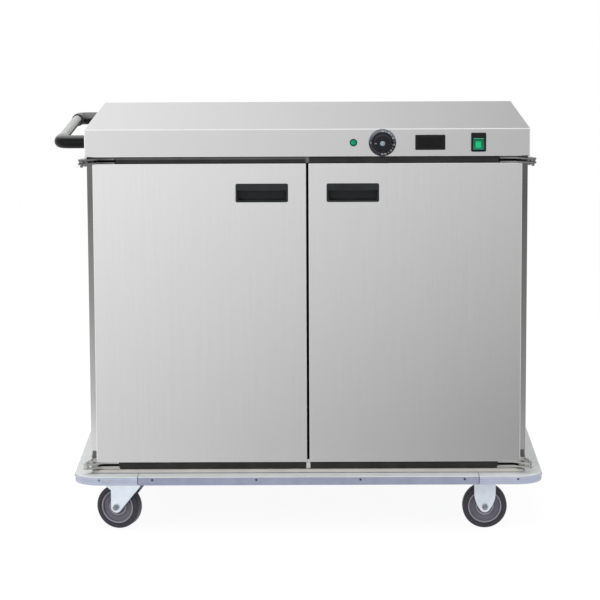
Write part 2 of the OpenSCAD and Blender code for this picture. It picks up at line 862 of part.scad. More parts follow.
// Hooded frame with a round-backed well for the rocker.
module switch_housing() {
    color("dimgray") translate([switch_x, 0, 0]) difference() {
        union() {
            translate([0, 0, panel_z]) forward_plate(panel_y, panel_y - hood_t)
                rounded_rect(switch_w, switch_h, 3);
            translate([0, 0, panel_z]) forward_plate(panel_y + switch_deep, panel_y)
                square([switch_w - 4, switch_h - 4], center = true);
        }
        translate([-rocker_w / 2 - seat_gap, rocker_y, rocker_z]) rotate([0, 90, 0])
            cylinder(r = rocker_r + seat_gap, h = rocker_w + 2 * seat_gap);
        translate([0, 0, rocker_z]) forward_plate(rocker_y, panel_y - hood_t - eps)
            square([rocker_w + 2 * seat_gap, 2 * (rocker_r + seat_gap)], center = true);
        translate([-rocker_w / 2 - 2.5, rocker_y, rocker_z]) rotate([0, 90, 0])
            cylinder(r = 2 + running, h = rocker_w + 5);
    }
}

// Rocker with two shallow faces, resting switched on.
module switch_rocker() {
    crown = rocker_y - panel_y + 3;
    color("green") translate([switch_x, rocker_y, rocker_z]) rotate([-rocker_tilt, 0, 0]) {
        difference() {
            translate([-rocker_w / 2, 0, 0]) rotate([0, 90, 0]) cylinder(r = rocker_r, h = rocker_w);
            for (s = [-1, 1]) translate([0, -crown, 0]) rotate([s * rocker_tilt, 0, 0])
                span([-rocker_w, -30, s < 0 ? -30 : 0], [rocker_w, 0, s < 0 ? 0 : 30]);
        }
        translate([-rocker_w / 2 - 2.2, 0, 0]) rotate([0, 90, 0])
            cylinder(r = 2, h = rocker_w + 4.4, $fn = 32);
    }
}

// Gland for the mains lead, on the back of the cap.
module cable_gland() {
    r = gland_d / 2;
    y0 = cap_d / 2;
    color("dimgray") translate([gland_x, y0, panel_z]) rotate([-90, 0, 0]) difference() {
        union() {
            translate([0, 0, -14]) cylinder(r = r + 4, h = 20);
            translate([0, 0, -cap_t - 4]) hexagon(2 * r + 12, 4);
            hexagon(2 * r + 12, 6);
            translate([0, 0, 6]) cylinder(r1 = r + 5, r2 = r + 2.5, h = 12);
        }
        translate([0, 0, -14 - eps]) cylinder(r = r, h = 32 + 2 * eps);
    }
}

// ---------- push handle ----------

// Elbow from the end of the cap round to the bar, drawn for the rear.
module handle_arm(e) {
    start = cap_w / 2;
    bend_x = arm_x - arm_bend;
    bend_y = arm_span / 2 - arm_bend;
    socket = bar_seat + 2;
    color("dimgray") mirror([1, 0, 0]) mirror([0, e == FRONT ? 1 : 0, 0])
    translate([0, 0, handle_z]) difference() {
        union() {
            translate([start, arm_span / 2, 0]) rotate([0, 90, 0])
                cylinder(r = arm_d / 2, h = bend_x - start);
            translate([bend_x, bend_y, 0]) rotate_extrude(angle = 90)
                translate([arm_bend, 0]) circle(arm_d / 2);
            translate([arm_x, bend_y, 0]) rotate([90, 0, 0]) cylinder(r = arm_d / 2, h = socket);
        }
        translate([bar_x, bend_y - 2, 0]) rotate([90, 0, 0]) cylinder(r = bar_d / 2 + 0.05, h = socket);
    }
}

module handle_bar() {
    half = arm_span / 2 - arm_bend - 2;
    color("lightgray") translate([-bar_x, half, handle_z]) rotate([90, 0, 0]) difference() {
        cylinder(r = bar_d / 2, h = 2 * half);
        translate([0, 0, -eps]) cylinder(r = bar_d / 2 - 2.5, h = 2 * half + 2 * eps);
    }
}

// ---------- doors, drawn for the right ----------

pull_x = door_in + pull_inset + pull_w / 2;
pull_z = door_hi - pull_drop - pull_h / 2;
cup_w = pull_w - 4;
cup_h = pull_h - 4;

module door_skin(s) {
    color("silver") side(s) difference() {
        span([door_in, door_front, door_lo], [door_out, door_back, door_hi]);
        span([door_in + door_sheet, door_front + door_sheet, door_lo + door_sheet],
             [door_out - door_sheet, door_back + eps, door_hi - door_sheet]);
        translate([pull_x, 0, pull_z]) forward_plate(door_front + 2, door_front - eps)
            rounded_rect(cup_w + 0.4, cup_h + 0.4, 3);
    }
}

module door_back_pan(s) {
    in = door_sheet + 0.1;
    color("lightgray") side(s)
        span([door_in + in, door_back - door_sheet, door_lo + in],
             [door_out - in, door_back, door_hi - in]);
}

module door_core(s) {
    in = door_sheet + 0.1;
    color("khaki") side(s) difference() {
        span([door_in + in, door_front + door_sheet, door_lo + in],
             [door_out - in, door_back - door_sheet, door_hi - in]);
        translate([pull_x, 0, pull_z]) forward_plate(door_front + pull_deep + 0.3, door_front)
            rounded_rect(cup_w + 0.4, cup_h + 0.4, 3);
    }
}

// Gasket on the back of the door, and the strips that close the gaps above and below it.
module door_seals(s) {
    in = 2;
    back = frame_y - seat_gap;
    color("black") side(s) {
        difference() {
            span([door_in + in, door_back, door_lo + in], [door_out - in, back, door_hi - in]);
            span([door_in + in + gasket_w, door_back - eps, door_lo + in + gasket_w],
                 [door_out - in - gasket_w, back + eps, door_hi - in - gasket_w]);
        }
        span([door_in + in, hinge_front, bracket_lo + strip_gap], [leaf_in - 2, door_back, door_lo]);
        span([door_in + in, hinge_front, sill_z + strip_gap],
             [leaf_in - 2, hinge_front + strip_t, door_lo]);
        span([door_in + in, hinge_front, door_hi], [leaf_in - 2, door_back, head_z - strip_gap]);
        span([door_in + in, hinge_front, door_hi],
             [leaf_in - 2, hinge_front + strip_t, cap_z - strip_gap]);
    }
}

// Recessed cup under an overhanging lip.
module door_pull(s) {
    lip = 16;
    rim = 4.5;
    wall = 2.5;
    color("dimgray") side(s) translate([pull_x, 0, pull_z]) difference() {
        union() {
            forward_plate(door_front, door_front - 1.5) rounded_rect(pull_w, pull_h, 4);
            forward_plate(door_front + pull_deep, door_front) rounded_rect(cup_w, cup_h, 3);
        }
        forward_plate(door_front + pull_deep - wall, door_front + wall)
            square([cup_w - 2 * wall, cup_h - 2 * wall], center = true);
        span([-pull_w / 2 + rim, door_front - 2, -pull_h / 2 + rim],
             [pull_w / 2 - rim, door_front + wall + eps, pull_h / 2 - lip]);
    }
}

// Outline of a hinge plate: a strip along the door with an arm out to the pivot.
module hinge_outline(x_out, y_back, bore) {
    pivot = [pivot_x, pivot_y];
    rear = [x_out, y_back];
    front = [door_out - 15, hinge_front];
    difference() {
        union() {
            polygon([
                [leaf_in, hinge_front], [leaf_in, y_back], rear,
                touch(rear, pivot, leaf_end_r, -1), pivot, touch(front, pivot, leaf_end_r, 1), front
            ]);
            translate(pivot) circle(leaf_end_r);
        }
        if (bore > 0) translate(pivot) circle(bore);
    }
}

// Leaf at the edge of a door, z its lower face, with the round boss on its arm.
module hinge_leaf(z, boss_z) {
    difference() {
        union() {
            translate([0, 0, z]) linear_extrude(leaf_t) hinge_outline(door_out, hinge_front + leaf_w, 0);
            translate([pivot_x - 8, 0, boss_z]) forward(boss_r, pivot_y + 19, pivot_y + leaf_end_r - 1);
        }
        translate([pivot_x, pivot_y, z - eps]) cylinder(r = pin_d / 2 + running, h = leaf_t + 2 * eps);
    }
}

module hinge_leaves(s) {
    color("silver") side(s) {
        hinge_leaf(door_lo - leaf_t, door_lo + 1);
        hinge_leaf(door_hi, bracket_hi - 2 * seat_gap - boss_r);
    }
}

// Bracket on the sill ledge or under the head ledge, with its pin and spacer.
module hinge_bracket(z, up) {
    spacer = hinge_gap - seat_gap;
    gap = up > 0 ? spacer : bracket_hi - door_hi - leaf_t - seat_gap;
    face = up > 0 ? z + leaf_t : z;
    translate([0, 0, z]) linear_extrude(leaf_t) hinge_outline(side_x - 5, frame_y - 0.1, 0);
    translate([pivot_x, pivot_y, up > 0 ? face - 0.5 : face - gap])
        cylinder(r = pin_d / 2 + 2.5, h = gap + 0.5);
    translate([pivot_x, pivot_y, up > 0 ? face - 0.5 : face - pin_rise])
        cylinder(r = pin_d / 2, h = pin_rise + 0.5);
}

module hinge_brackets() {
    color("silver") both_ways([1, 0, 0]) {
        hinge_bracket(bracket_lo, 1);
        hinge_bracket(bracket_hi, -1);
    }
}

place() base_deck();
place() bumper_corners();
place() bumper_rails();
place() bumper_screws();
place() caster_bolts();
place() caster_plate(FRONT);  // caster_plate_front_left
place() caster_plate(REAR);  // caster_plate_rear_left
place() swivel_fork(FRONT);  // swivel_fork_front_left
place() swivel_fork(REAR);  // swivel_fork_rear_left
place() fixed_fork(FRONT);  // fixed_fork_front_right
place() fixed_fork(REAR);  // fixed_fork_rear_right
place() wheel_hub(LEFT, FRONT);  // wheel_hub_front_left
place() wheel_hub(LEFT, REAR);  // wheel_hub_rear_left
place() wheel_hub(RIGHT, FRONT);  // wheel_hub_front_right
place() wheel_hub(RIGHT, REAR);  // wheel_hub_rear_right
place() wheel_tyre(LEFT, FRONT);  // wheel_tyre_front_left
place() wheel_tyre(LEFT, REAR);  // wheel_tyre_rear_left
place() wheel_tyre(RIGHT, FRONT);  // wheel_tyre_front_right
place() wheel_tyre(RIGHT, REAR);  // wheel_tyre_rear_right
place() wheel_axle(LEFT, FRONT);  // wheel_axle_front_left
place() wheel_axle(LEFT, REAR);  // wheel_axle_rear_left
place() wheel_axle(RIGHT, FRONT);  // wheel_axle_front_right
place() wheel_axle(RIGHT, REAR);  // wheel_axle_rear_right
place() outer_shell();
place() inner_liner();
place() insulation();
place() front_frame();
place() centre_partition();
place() shelf_runners();
place() shelves(LEFT);  // left_shelves
place() shelves(RIGHT);  // right_shelves
place() heater_elements();
place() heater_covers();
place() top_cap();
place() thermostat();
place() dial_plate();
place() dial_knob();
place() pilot_lamp();
place() display_body();
place() display_window();
place() switch_housing();
place() switch_rocker();
place() cable_gland();
place() handle_arm(FRONT);  // handle_arm_front
place() handle_arm(REAR);  // handle_arm_rear
place() handle_bar();
place() hinge_brackets();
place() door_skin(LEFT);  // left_door_skin
place() door_back_pan(LEFT);  // left_door_back
place() door_core(LEFT);  // left_door_core
place() door_seals(LEFT);  // left_door_seals
place() door_pull(LEFT);  // left_door_pull
place() hinge_leaves(LEFT);  // left_hinge_leaves
place() door_skin(RIGHT);  // right_door_skin
place() door_back_pan(RIGHT);  // right_door_back
place() door_core(RIGHT);  // right_door_core
place() door_seals(RIGHT);  // right_door_seals
place() door_pull(RIGHT);  // right_door_pull
place() hinge_leaves(RIGHT);  // right_hinge_leaves
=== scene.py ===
import json
import math

import bmesh
import bpy
from mathutils import Matrix, Vector


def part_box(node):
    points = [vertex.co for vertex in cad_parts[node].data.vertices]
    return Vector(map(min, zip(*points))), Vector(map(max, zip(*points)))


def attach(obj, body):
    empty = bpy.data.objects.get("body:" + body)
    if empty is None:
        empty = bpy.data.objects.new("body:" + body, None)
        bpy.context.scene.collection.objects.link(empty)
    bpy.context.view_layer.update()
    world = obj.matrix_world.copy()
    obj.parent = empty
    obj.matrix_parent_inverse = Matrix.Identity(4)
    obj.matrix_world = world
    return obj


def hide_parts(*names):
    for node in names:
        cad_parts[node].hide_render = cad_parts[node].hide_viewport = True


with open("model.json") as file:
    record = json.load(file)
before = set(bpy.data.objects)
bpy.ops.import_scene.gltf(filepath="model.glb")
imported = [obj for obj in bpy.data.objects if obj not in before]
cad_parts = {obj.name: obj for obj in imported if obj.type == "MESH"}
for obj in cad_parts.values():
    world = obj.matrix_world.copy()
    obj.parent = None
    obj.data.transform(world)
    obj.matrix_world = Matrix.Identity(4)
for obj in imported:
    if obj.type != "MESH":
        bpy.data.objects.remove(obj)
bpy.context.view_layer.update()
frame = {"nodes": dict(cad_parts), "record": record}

# A heated two-door hostess trolley on four casters, dressed around its CAD model. Metres throughout.

mm = 0.001
print("stage: frame loaded")


photoCamera = {
    "place": (0.0367, -7.057, 1.6524),
    "tiltDown": 0.1613,      # radians below the horizon
    "heading": 0.0052,       # radians to the left
    "roll": -0.0044,         # radians
    "lens": 173.7,           # mm on a 36 mm sensor, for a square picture of 600 x 600
}


def setCamera(spec):
    data = bpy.data.cameras.new("photoCamera")
    data.lens = spec["lens"]
    data.sensor_width = 36
    data.sensor_fit = "HORIZONTAL"
    data.clip_end = 60
    camera = bpy.data.objects.new("photoCamera", data)
    turn = (Matrix.Rotation(spec["heading"], 4, "Z")
            @ Matrix.Rotation(math.pi / 2 - spec["tiltDown"], 4, "X")
            @ Matrix.Rotation(spec["roll"], 4, "Z"))
    camera.matrix_world = Matrix.Translation(spec["place"]) @ turn
    bpy.context.scene.collection.objects.link(camera)
    bpy.context.scene.camera = camera


setCamera(photoCamera)
bpy.context.scene.view_settings.view_transform = "Standard"


def linear(text):
    parts = [int(text[i:i + 2], 16) / 255 for i in (1, 3, 5)]
    return tuple(c / 12.92 if c <= 0.04045 else ((c + 0.055) / 1.055) ** 2.4 for c in parts) + (1,)


def add(tree, kind, settings={}, links={}, stops=()):
    node = tree.nodes.new(kind)
    for key, value in settings.items():
        if key in node.inputs:
            node.inputs[key].default_value = value
        else:
            setattr(node, key, value)
    for key, (source, output) in links.items():
        tree.links.new(source.outputs[output], node.inputs[key])
    for i, (position, colour) in enumerate(stops):
        ramp = node.color_ramp.elements
        stop = ramp[i] if i < len(ramp) else ramp.new(position)
        stop.position = position
        stop.color = linear(colour)
    return node


def newTree(name):
    material = bpy.data.materials.new(name)
    material.use_nodes = True
    material.node_tree.nodes.clear()
    return material, material.node_tree


# Stainless sheet, cold rolled and belt-brushed: a soft reflection, faintly streaked along the grain.
# Its two tones are those of the streaks. With byHeight they are pairs of a height in metres and a colour
# instead: a painted reflection and painted shade that change from the foot to the top.
def brushedStainless(name, tones, rough, along, byHeight=False):
    material, tree = newTree(name)
    across, lengthwise = 900, 7          # streaks in a metre: 1.1 mm apart, 140 mm long
    streak = [lengthwise if axis == along else across for axis in "XYZ"]
    place = add(tree, "ShaderNodeTexCoord")
    grainPlace = add(tree, "ShaderNodeMapping", {"Scale": streak}, {"Vector": (place, "Object")})
    grain = add(tree, "ShaderNodeTexNoise", {"Scale": 1.0, "Detail": 2.0}, {"Vector": (grainPlace, "Vector")})
    # clouds 330 mm across, where the belt pressed more or less
    cloud = add(tree, "ShaderNodeTexNoise", {"Scale": 3.0, "Detail": 2.0}, {"Vector": (place, "Object")})
    # with byHeight the tone is painted reflection and painted shade, set by height
    if byHeight:
        level = add(tree, "ShaderNodeSeparateXYZ", {}, {"Vector": (place, "Object")})
        tone = add(tree, "ShaderNodeValToRGB", {}, {"Fac": (level, "Z")}, tones)
    else:
        tone = add(tree, "ShaderNodeValToRGB", {}, {"Fac": (grain, "Fac")}, zip((0.3, 0.7), tones))
    spread = 0.015                       # the roughness varies by this much
    gloss = add(tree, "ShaderNodeMapRange", {"From Min": 0.0, "From Max": 1.0, "To Min": rough - spread,
                                             "To Max": rough + spread}, {"Value": (cloud, "Fac")})
    relief = add(tree, "ShaderNodeBump", {"Strength": 0.015, "Distance": 0.1 * mm},
                 {"Height": (grain, "Fac")})
    shader = add(tree, "ShaderNodeBsdfPrincipled", {"Metallic": 1.0},
                 {"Base Color": (tone, "Color"), "Roughness": (gloss, "Result"),
                  "Normal": (relief, "Normal")})
    add(tree, "ShaderNodeOutputMaterial", {}, {"Surface": (shader, "BSDF")})
    return material


# Smooth metal with a faint cloudiness, its patches so many metres across: mill-finished liner, drawn wire,
# zinc plate, tube.
def cloudedMetal(name, dark, light, rough, patch, spread=0.04):
    material, tree = newTree(name)
    place = add(tree, "ShaderNodeTexCoord")
    cloud = add(tree, "ShaderNodeTexNoise", {"Scale": 1 / patch, "Detail": 4.0, "Roughness": 0.6},
                {"Vector": (place, "Object")})
    tone = add(tree, "ShaderNodeValToRGB", {}, {"Fac": (cloud, "Fac")}, [(0.32, dark), (0.68, light)])
    gloss = add(tree, "ShaderNodeMapRange", {"From Min": 0.3, "From Max": 0.7, "To Min": rough - spread,
                                             "To Max": rough + spread}, {"Value": (cloud, "Fac")})
    shader = add(tree, "ShaderNodeBsdfPrincipled", {"Metallic": 1.0},
                 {"Base Color": (tone, "Color"), "Roughness": (gloss, "Result")})
    add(tree, "ShaderNodeOutputMaterial", {}, {"Surface": (shader, "BSDF")})
    return material


# Plastic or rubber with a fine pebbled skin from the mould, pebble and depth in metres. With facing, the two
# upward slopes between which the light tone comes in, the surfaces that face up are paler: a painted
# highlight.
def moulded(name, dark, light, rough, pebble=0.0009, depth=0.00006, specular=0.5, sheen=0.0, facing=()):
    material, tree = newTree(name)
    place = add(tree, "ShaderNodeTexCoord")
    skin = add(tree, "ShaderNodeTexNoise", {"Scale": 1 / pebble, "Detail": 2.0},
               {"Vector": (place, "Object")})
    # clouds 36 mm across, where the plastic flowed
    cloud = add(tree, "ShaderNodeTexNoise", {"Scale": 28.0, "Detail": 3.0}, {"Vector": (place, "Object")})
    if facing:
        steep, level = facing
        slope = add(tree, "ShaderNodeSeparateXYZ", {}, {"Vector": (place, "Normal")})
        share = add(tree, "ShaderNodeMapRange", {"From Min": steep, "From Max": level},
                    {"Value": (slope, "Z")})
        tone = add(tree, "ShaderNodeValToRGB", {}, {"Fac": (share, "Result")}, [(0, dark), (1, light)])
    else:
        tone = add(tree, "ShaderNodeValToRGB", {}, {"Fac": (cloud, "Fac")}, [(0.3, dark), (0.7, light)])
    spread = 0.04                        # the roughness varies by this much
    gloss = add(tree, "ShaderNodeMapRange", {"From Min": 0.3, "From Max": 0.7, "To Min": rough - spread,
                                             "To Max": rough + spread}, {"Value": (cloud, "Fac")})
    relief = add(tree, "ShaderNodeBump", {"Strength": 0.5, "Distance": depth}, {"Height": (skin, "Fac")})
    shader = add(tree, "ShaderNodeBsdfPrincipled", {"IOR": 1.5, "Specular IOR Level": specular,
                                                    "Sheen Weight": sheen},
                 {"Base Color": (tone, "Color"), "Roughness": (gloss, "Result"),
                  "Normal": (relief, "Normal")})
    add(tree, "ShaderNodeOutputMaterial", {}, {"Surface": (shader, "BSDF")})
    return material


# Clear-tinted acrylic or polycarbonate: a glossy face, lit softly from within.
def tintedLens(name, dark, light, rough, glow, glowColour):
    material, tree = newTree(name)
    place = add(tree, "ShaderNodeTexCoord")
    # clouds 4.5 mm across, from the facets behind the face
    cloud = add(tree, "ShaderNodeTexNoise", {"Scale": 220.0, "Detail": 2.0}, {"Vector": (place, "Object")})
    tone = add(tree, "ShaderNodeValToRGB", {}, {"Fac": (cloud, "Fac")}, [(0.35, dark), (0.65, light)])
    shader = add(tree, "ShaderNodeBsdfPrincipled",
                 {"Roughness": rough, "IOR": 1.49, "Specular IOR Level": 0.15,
                  "Emission Color": linear(glowColour), "Emission Strength": glow},
                 {"Base Color": (tone, "Color")})
    add(tree, "ShaderNodeOutputMaterial", {}, {"Surface": (shader, "BSDF")})
    return material


# Mineral wool slab: matted fibres, ochre, in tufts 3 mm across.
def mineralWool(name):
    material, tree = newTree(name)
    place = add(tree, "ShaderNodeTexCoord")
    fibres = add(tree, "ShaderNodeTexNoise", {"Scale": 320.0, "Detail": 6.0, "Distortion": 1.5},
                 {"Vector": (place, "Object")})
    tone = add(tree, "ShaderNodeValToRGB", {}, {"Fac": (fibres, "Fac")},
               [(0.3, "#8f7a4c"), (0.7, "#c9b684")])
    relief = add(tree, "ShaderNodeBump", {"Strength": 0.8, "Distance": 1 * mm}, {"Height": (fibres, "Fac")})
    shader = add(tree, "ShaderNodeBsdfPrincipled", {"Roughness": 0.95, "Sheen Weight": 0.2},
                 {"Base Color": (tone, "Color"), "Normal": (relief, "Normal")})
    add(tree, "ShaderNodeOutputMaterial", {}, {"Surface": (shader, "BSDF")})
    return material


finish = {
    # stainless sheet of the cabinet, belt-brushed
    "doorSteel": brushedStainless("brushedStainlessDoors", ("#d2d2d2", "#d5d5d5"), 0.26, "Z"),
    "capSteel": brushedStainless("brushedStainlessCap", ("#c9c9c9", "#cccccc"), 0.28, "X"),
    "shellSteel": brushedStainless("brushedStainlessShell", ("#cbcbcb", "#d0d0d0"), 0.28, "Z"),
    # stiles behind the doors: thinner sheet, with painted shade that darkens it to the top and a painted
    # reflection of the deck that makes it bright at the foot
    "frameSteel": brushedStainless("brushedStainlessFrame", [(0.22, "#dcdcda"), (0.32, "#bababa"),
                                                             (0.56, "#8c8c8a"), (0.8, "#666664")],
                                   0.18, "Z", byHeight=True),
    # folded edges, paler than the flat sheet: a painted highlight along the bends
    "edgeSteel": cloudedMetal("highlightedStainlessEdge", "#eeeeee", "#f4f4f4", 0.24, 0.03, 0.02),
    # hinge plates, cut from stainless strip: a painted reflection makes them bright at the foot and painted
    # shade darkens them under the cap
    "hingeSteel": brushedStainless("brushedStainlessHinges", [(0.2, "#b9b9b7"), (0.8, "#737373")],
                                   0.26, "X", byHeight=True),
    # liner sheet straight from the mill: smoother and a little greyer than the brushed outside
    "linerSteel": cloudedMetal("millFinishStainless", "#b3b4b6", "#c0c1c3", 0.26, 0.18),
    # shelf wire, drawn and electropolished: bright
    "wire": cloudedMetal("electropolishedWire", "#c6c8ca", "#d6d8da", 0.16, 0.03),
    # heater tube, nickel alloy darkened by heat: brown-grey with straw patches
    "heaterTube": cloudedMetal("heatTintedAlloy", "#4a433e", "#7c6a55", 0.42, 0.05, 0.08),
    "wool": mineralWool("mineralWoolSlab"),
    # base tray, powder-coated: an even satin grey with a fine orange peel
    "basePaint": moulded("powderCoatGrey", "#b8bdc0", "#c2c7ca", 0.42, 0.0014, 0.00003),
    # bumper corners, polypropylene, injection moulded
    "bumperCorner": moulded("mouldedPolypropyleneGrey", "#abb1c4", "#b6bccf", 0.46),
    # bumper rails, extruded PVC on an aluminium carrier: paler along the top
    "bumperRail": moulded("extrudedVinylGrey", "#8b90a6", "#969bb1", 0.45),
    "bumperTop": moulded("extrudedVinylPale", "#d0d3d3", "#dadddd", 0.42),
    # small screws, blackened steel
    "darkScrew": cloudedMetal("blackenedSteel", "#38343c", "#57525c", 0.38, 0.004),
    # caster plates and forks, pressed steel, zinc plated with a blue passivate: cool and bright
    "zinc": cloudedMetal("bluePassivatedZinc", "#d6dee9", "#e3ebf4", 0.36, 0.035, 0.05),
    "zincBolt": cloudedMetal("zincPlatedBolt", "#74787c", "#9a9ea2", 0.24, 0.006),
    # wheels: hub of grey polypropylene, its pale ring at the rim a painted highlight, and a tyre of
    # grey-black rubber
    "hub": moulded("mouldedPolypropyleneHub", "#605e69", "#6f6d7a", 0.38),
    "hubRim": moulded("mouldedPolypropyleneRim", "#918c94", "#a09ba3", 0.34),
    "tyre": moulded("thermoplasticRubberTyre", "#24232b", "#31303b", 0.55, 0.0012, 0.00012),
    # controls, ABS, injection moulded, fine matt texture
    "controlBlack": moulded("mouldedAbsBlack", "#161618", "#1d1d20", 0.36, specular=0.14),
    # dial skirt, conical and satin: paler where it faces up, a painted highlight
    "dialPlate": moulded("mouldedAbsPlate", "#1c1d27", "#696e75", 0.30, specular=0.4, facing=(0.02, 0.12)),
    "knobBlack": moulded("mouldedAbsCharcoal", "#17181a", "#202124", 0.34, specular=0.14),
    # numbers and dots, pad-printed: chalky white
    "dialMark": moulded("padPrintedWhite", "#d3dbe3", "#e2e8ee", 0.5),
    # disc in the knob, spun aluminium: dull, faintly blue
    "capDisc": cloudedMetal("spunAluminiumDisc", "#8f9ca6", "#a4b2bb", 0.35, 0.003),
    # window of the thermometer, smoked acrylic: black and glossy
    "displayGlass": tintedLens("smokedAcrylic", "#0d0d0c", "#131312", 0.14, 0.0, "#000000"),
    # signal green polycarbonate: clear over a lit bulb, darker where the bulb doesn't reach
    "greenLens": tintedLens("greenPolycarbonateLens", "#0b7a5a", "#10916c", 0.22, 0.12, "#12a57c"),
    "greenEdge": tintedLens("greenPolycarbonateDark", "#063a28", "#084531", 0.25, 0.0, "#000000"),
    "greenRocker": tintedLens("greenPolycarbonateRocker", "#0b5f3c", "#0e6b45", 0.24, 0.05, "#0a6a40"),
    "greenWindow": tintedLens("greenPolycarbonateWindow", "#0e9a64", "#14a870", 0.24, 0.28, "#12b478"),
    # pale crest of the rocker: a painted highlight along its top edge
    "greenRim": tintedLens("greenPolycarbonateCrestHighlight", "#4fa588", "#5ab092", 0.24, 0.1, "#50b090"),
    "greenFoot": tintedLens("greenPolycarbonateFoot", "#2f6d62", "#38776b", 0.24, 0.02, "#2f6d62"),
    "gland": moulded("mouldedNylonBlack", "#202022", "#2c2c2f", 0.4),
    # handle arms, moulded nylon, with a painted highlight on top: wide on the rear arm, narrow on the front
    # one
    "elbow": moulded("mouldedNylonElbow", "#0e0f0f", "#6a6b6a", 0.30, 0.001, 0.00003, 0.16,
                     facing=(0.5, 0.88)),
    "elbowRear": moulded("highlightedNylonElbowRear", "#0e0f0f", "#6c6d6c", 0.32, 0.001, 0.00003, 0.16,
                         facing=(-0.1, 0.25)),
    # sleeve of the bar, soft PVC: pale outside, black on its inner lower side
    "gripUnder": moulded("softPvcUnderside", "#101111", "#171818", 0.42, 0.001, 0.00004, 0.2),
    "grip": moulded("softPvcGrip", "#a3a6a3", "#adb0ad", 0.5, 0.0012, 0.0001, 0.4, 0.1),
    # gaskets and strips, EPDM, extruded: dull black, with a grey painted highlight along the top strip of the
    # left door
    "seal": moulded("extrudedEpdmBlack", "#262626", "#2f2f2f", 0.44, specular=0.15),
    "sealHighlight": moulded("extrudedEpdmHighlight", "#4b4b4a", "#565655", 0.40, specular=0.3),
    "sealBlack": moulded("cutEpdmBlack", "#0a0a0a", "#111111", 0.5, specular=0.08),
    "buffer": moulded("mouldedRubberBuffer", "#646463", "#727271", 0.5, specular=0.2),
    # bead between the cabinet and the deck, cream silicone, tooled smooth
    "bead": moulded("tooledSilicone", "#b8b5b0", "#c2bfba", 0.45, 0.003, 0.00008),
    # recessed pulls, ABS, with a coarser and duller texture than the controls
    "pullBlack": moulded("mouldedAbsPull", "#222526", "#2a2d2e", 0.38, specular=0.15),
}
print("stage: materials", len(finish))


# Makes a piece from its mesh. Edges sharper than so many degrees stay crisp.
def finishPiece(name, bm, materials, body, nodes=(), sharp=38):
    bmesh.ops.recalc_face_normals(bm, faces=bm.faces)
    mesh = bpy.data.meshes.new(name)
    bm.to_mesh(mesh)
    bm.free()
    for material in materials:
        mesh.materials.append(material)
    mesh.shade_smooth()
    mesh.set_sharp_from_angle(angle=math.radians(sharp))
    piece = bpy.data.objects.new(name, mesh)
    bpy.context.scene.collection.objects.link(piece)
    even = piece.modifiers.new("evenNormals", "WEIGHTED_NORMAL")
    even.keep_sharp = True
    even.weight = 90         # the large faces set the normals
    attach(piece, body)
    if nodes:
        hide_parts(*nodes)


# A copy of a CAD node with its flat faces joined and its sharp edges rounded. With outerOnly, these are only
# the edges that run along two walls of its box.
def softened(node, width, segments=2, outerOnly=False):
    same, near = 0.002 * mm, 0.02 * mm                   # points that are one, and points on a wall
    flat, fold = math.radians(0.4), math.radians(35)     # faces that are one, and edges that are rounded
    bm = bmesh.new()
    bm.from_mesh(frame["nodes"][node].data)
    bmesh.ops.remove_doubles(bm, verts=bm.verts, dist=same)
    bmesh.ops.dissolve_limit(bm, angle_limit=flat, verts=bm.verts, edges=bm.edges, delimit={"NORMAL"})
    lo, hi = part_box(node)

    def walls(v):
        return {(k, s) for k in range(3) for s, b in ((0, lo), (1, hi)) if abs(v.co[k] - b[k]) < near}

    edges = []
    for e in bm.edges:
        if not e.is_manifold or e.calc_face_angle(0) < fold or not e.is_convex:
            continue
        if outerOnly and len(walls(e.verts[0]) & walls(e.verts[1])) < 2:
            continue
        edges.append(e)
    bmesh.ops.bevel(bm, geom=edges, offset=width, offset_type="OFFSET", segments=segments, profile=0.5,
                    affect="EDGES", clamp_overlap=True)
    return bm


# Rings of the same number of points, skinned one after the other, in a new mesh or in bm. The ends are
# capped, or joined if closed.
def loft(rings, closed=False, bm=None):
    if bm is None:
        bm = bmesh.new()
    rows = [[bm.verts.new(p) for p in ring] for ring in rings]
    count = len(rows[0])
    pairs = list(zip(rows, rows[1:])) + ([(rows[-1], rows[0])] if closed else [])
    for a, b in pairs:
        for i in range(count):
            j = (i + 1) % count
            bm.faces.new((a[i], a[j], b[j], b[i]))
    if not closed:
        for row in (rows[0], rows[-1]):
            bm.faces.new(row)
    return bm


# A block between two opposite corners.
def boxBetween(bm, a, b):
    centre = (Vector(a) + Vector(b)) / 2
    size = [abs(p - q) for p, q in zip(a, b)]
    bmesh.ops.create_cube(bm, size=1.0, matrix=Matrix.Translation(centre) @ Matrix.Diagonal((*size, 1)))


# Outline of a rounded rectangle in the plane of the doors, at depth y, its top edge bowed down.
def frontRing(centre, w, h, r, y, bow=0.0, arc=5, run=8):
    points = []
    corners = [(1, 1, 0), (-1, 1, 90), (-1, -1, 180), (1, -1, 270)]
    for k, (sx, sz, start) in enumerate(corners):
        cx, cz = sx * (w / 2 - r), sz * (h / 2 - r)
        for i in range(arc + 1):
            a = math.radians(start + 90 * i / arc)
            points.append((cx + r * math.cos(a), cz + r * math.sin(a)))
        nx, nz, begin = corners[(k + 1) % 4]
        ax, az = points[-1]
        b = math.radians(begin)
        bx, bz = nx * (w / 2 - r) + r * math.cos(b), nz * (h / 2 - r) + r * math.sin(b)
        points += [(ax + (bx - ax) * t / run, az + (bz - az) * t / run) for t in range(1, run)]
    out = []
    for x, z in points:
        if z > h / 2 - r - 1e-9:
            z -= bow * max(0, 1 - (2 * x / (w - 2 * r)) ** 2)
        out.append(Vector((centre[0] + x, y, centre[1] + z)))
    return out


# Turns a profile of (radius, height) about an axis through centre. A closed profile makes a ring.
def lathe(centre, axis, profile, steps, closed=True, bm=None):
    axis = Vector(axis).normalized()
    side = axis.orthogonal().normalized()
    other = axis.cross(side)
    rings = []
    for r, h in profile:
        rings.append([Vector(centre) + axis * h + (side * math.cos(a) + other * math.sin(a)) * r
                      for a in (2 * math.pi * i / steps for i in range(steps))])
    return loft(rings, closed, bm)


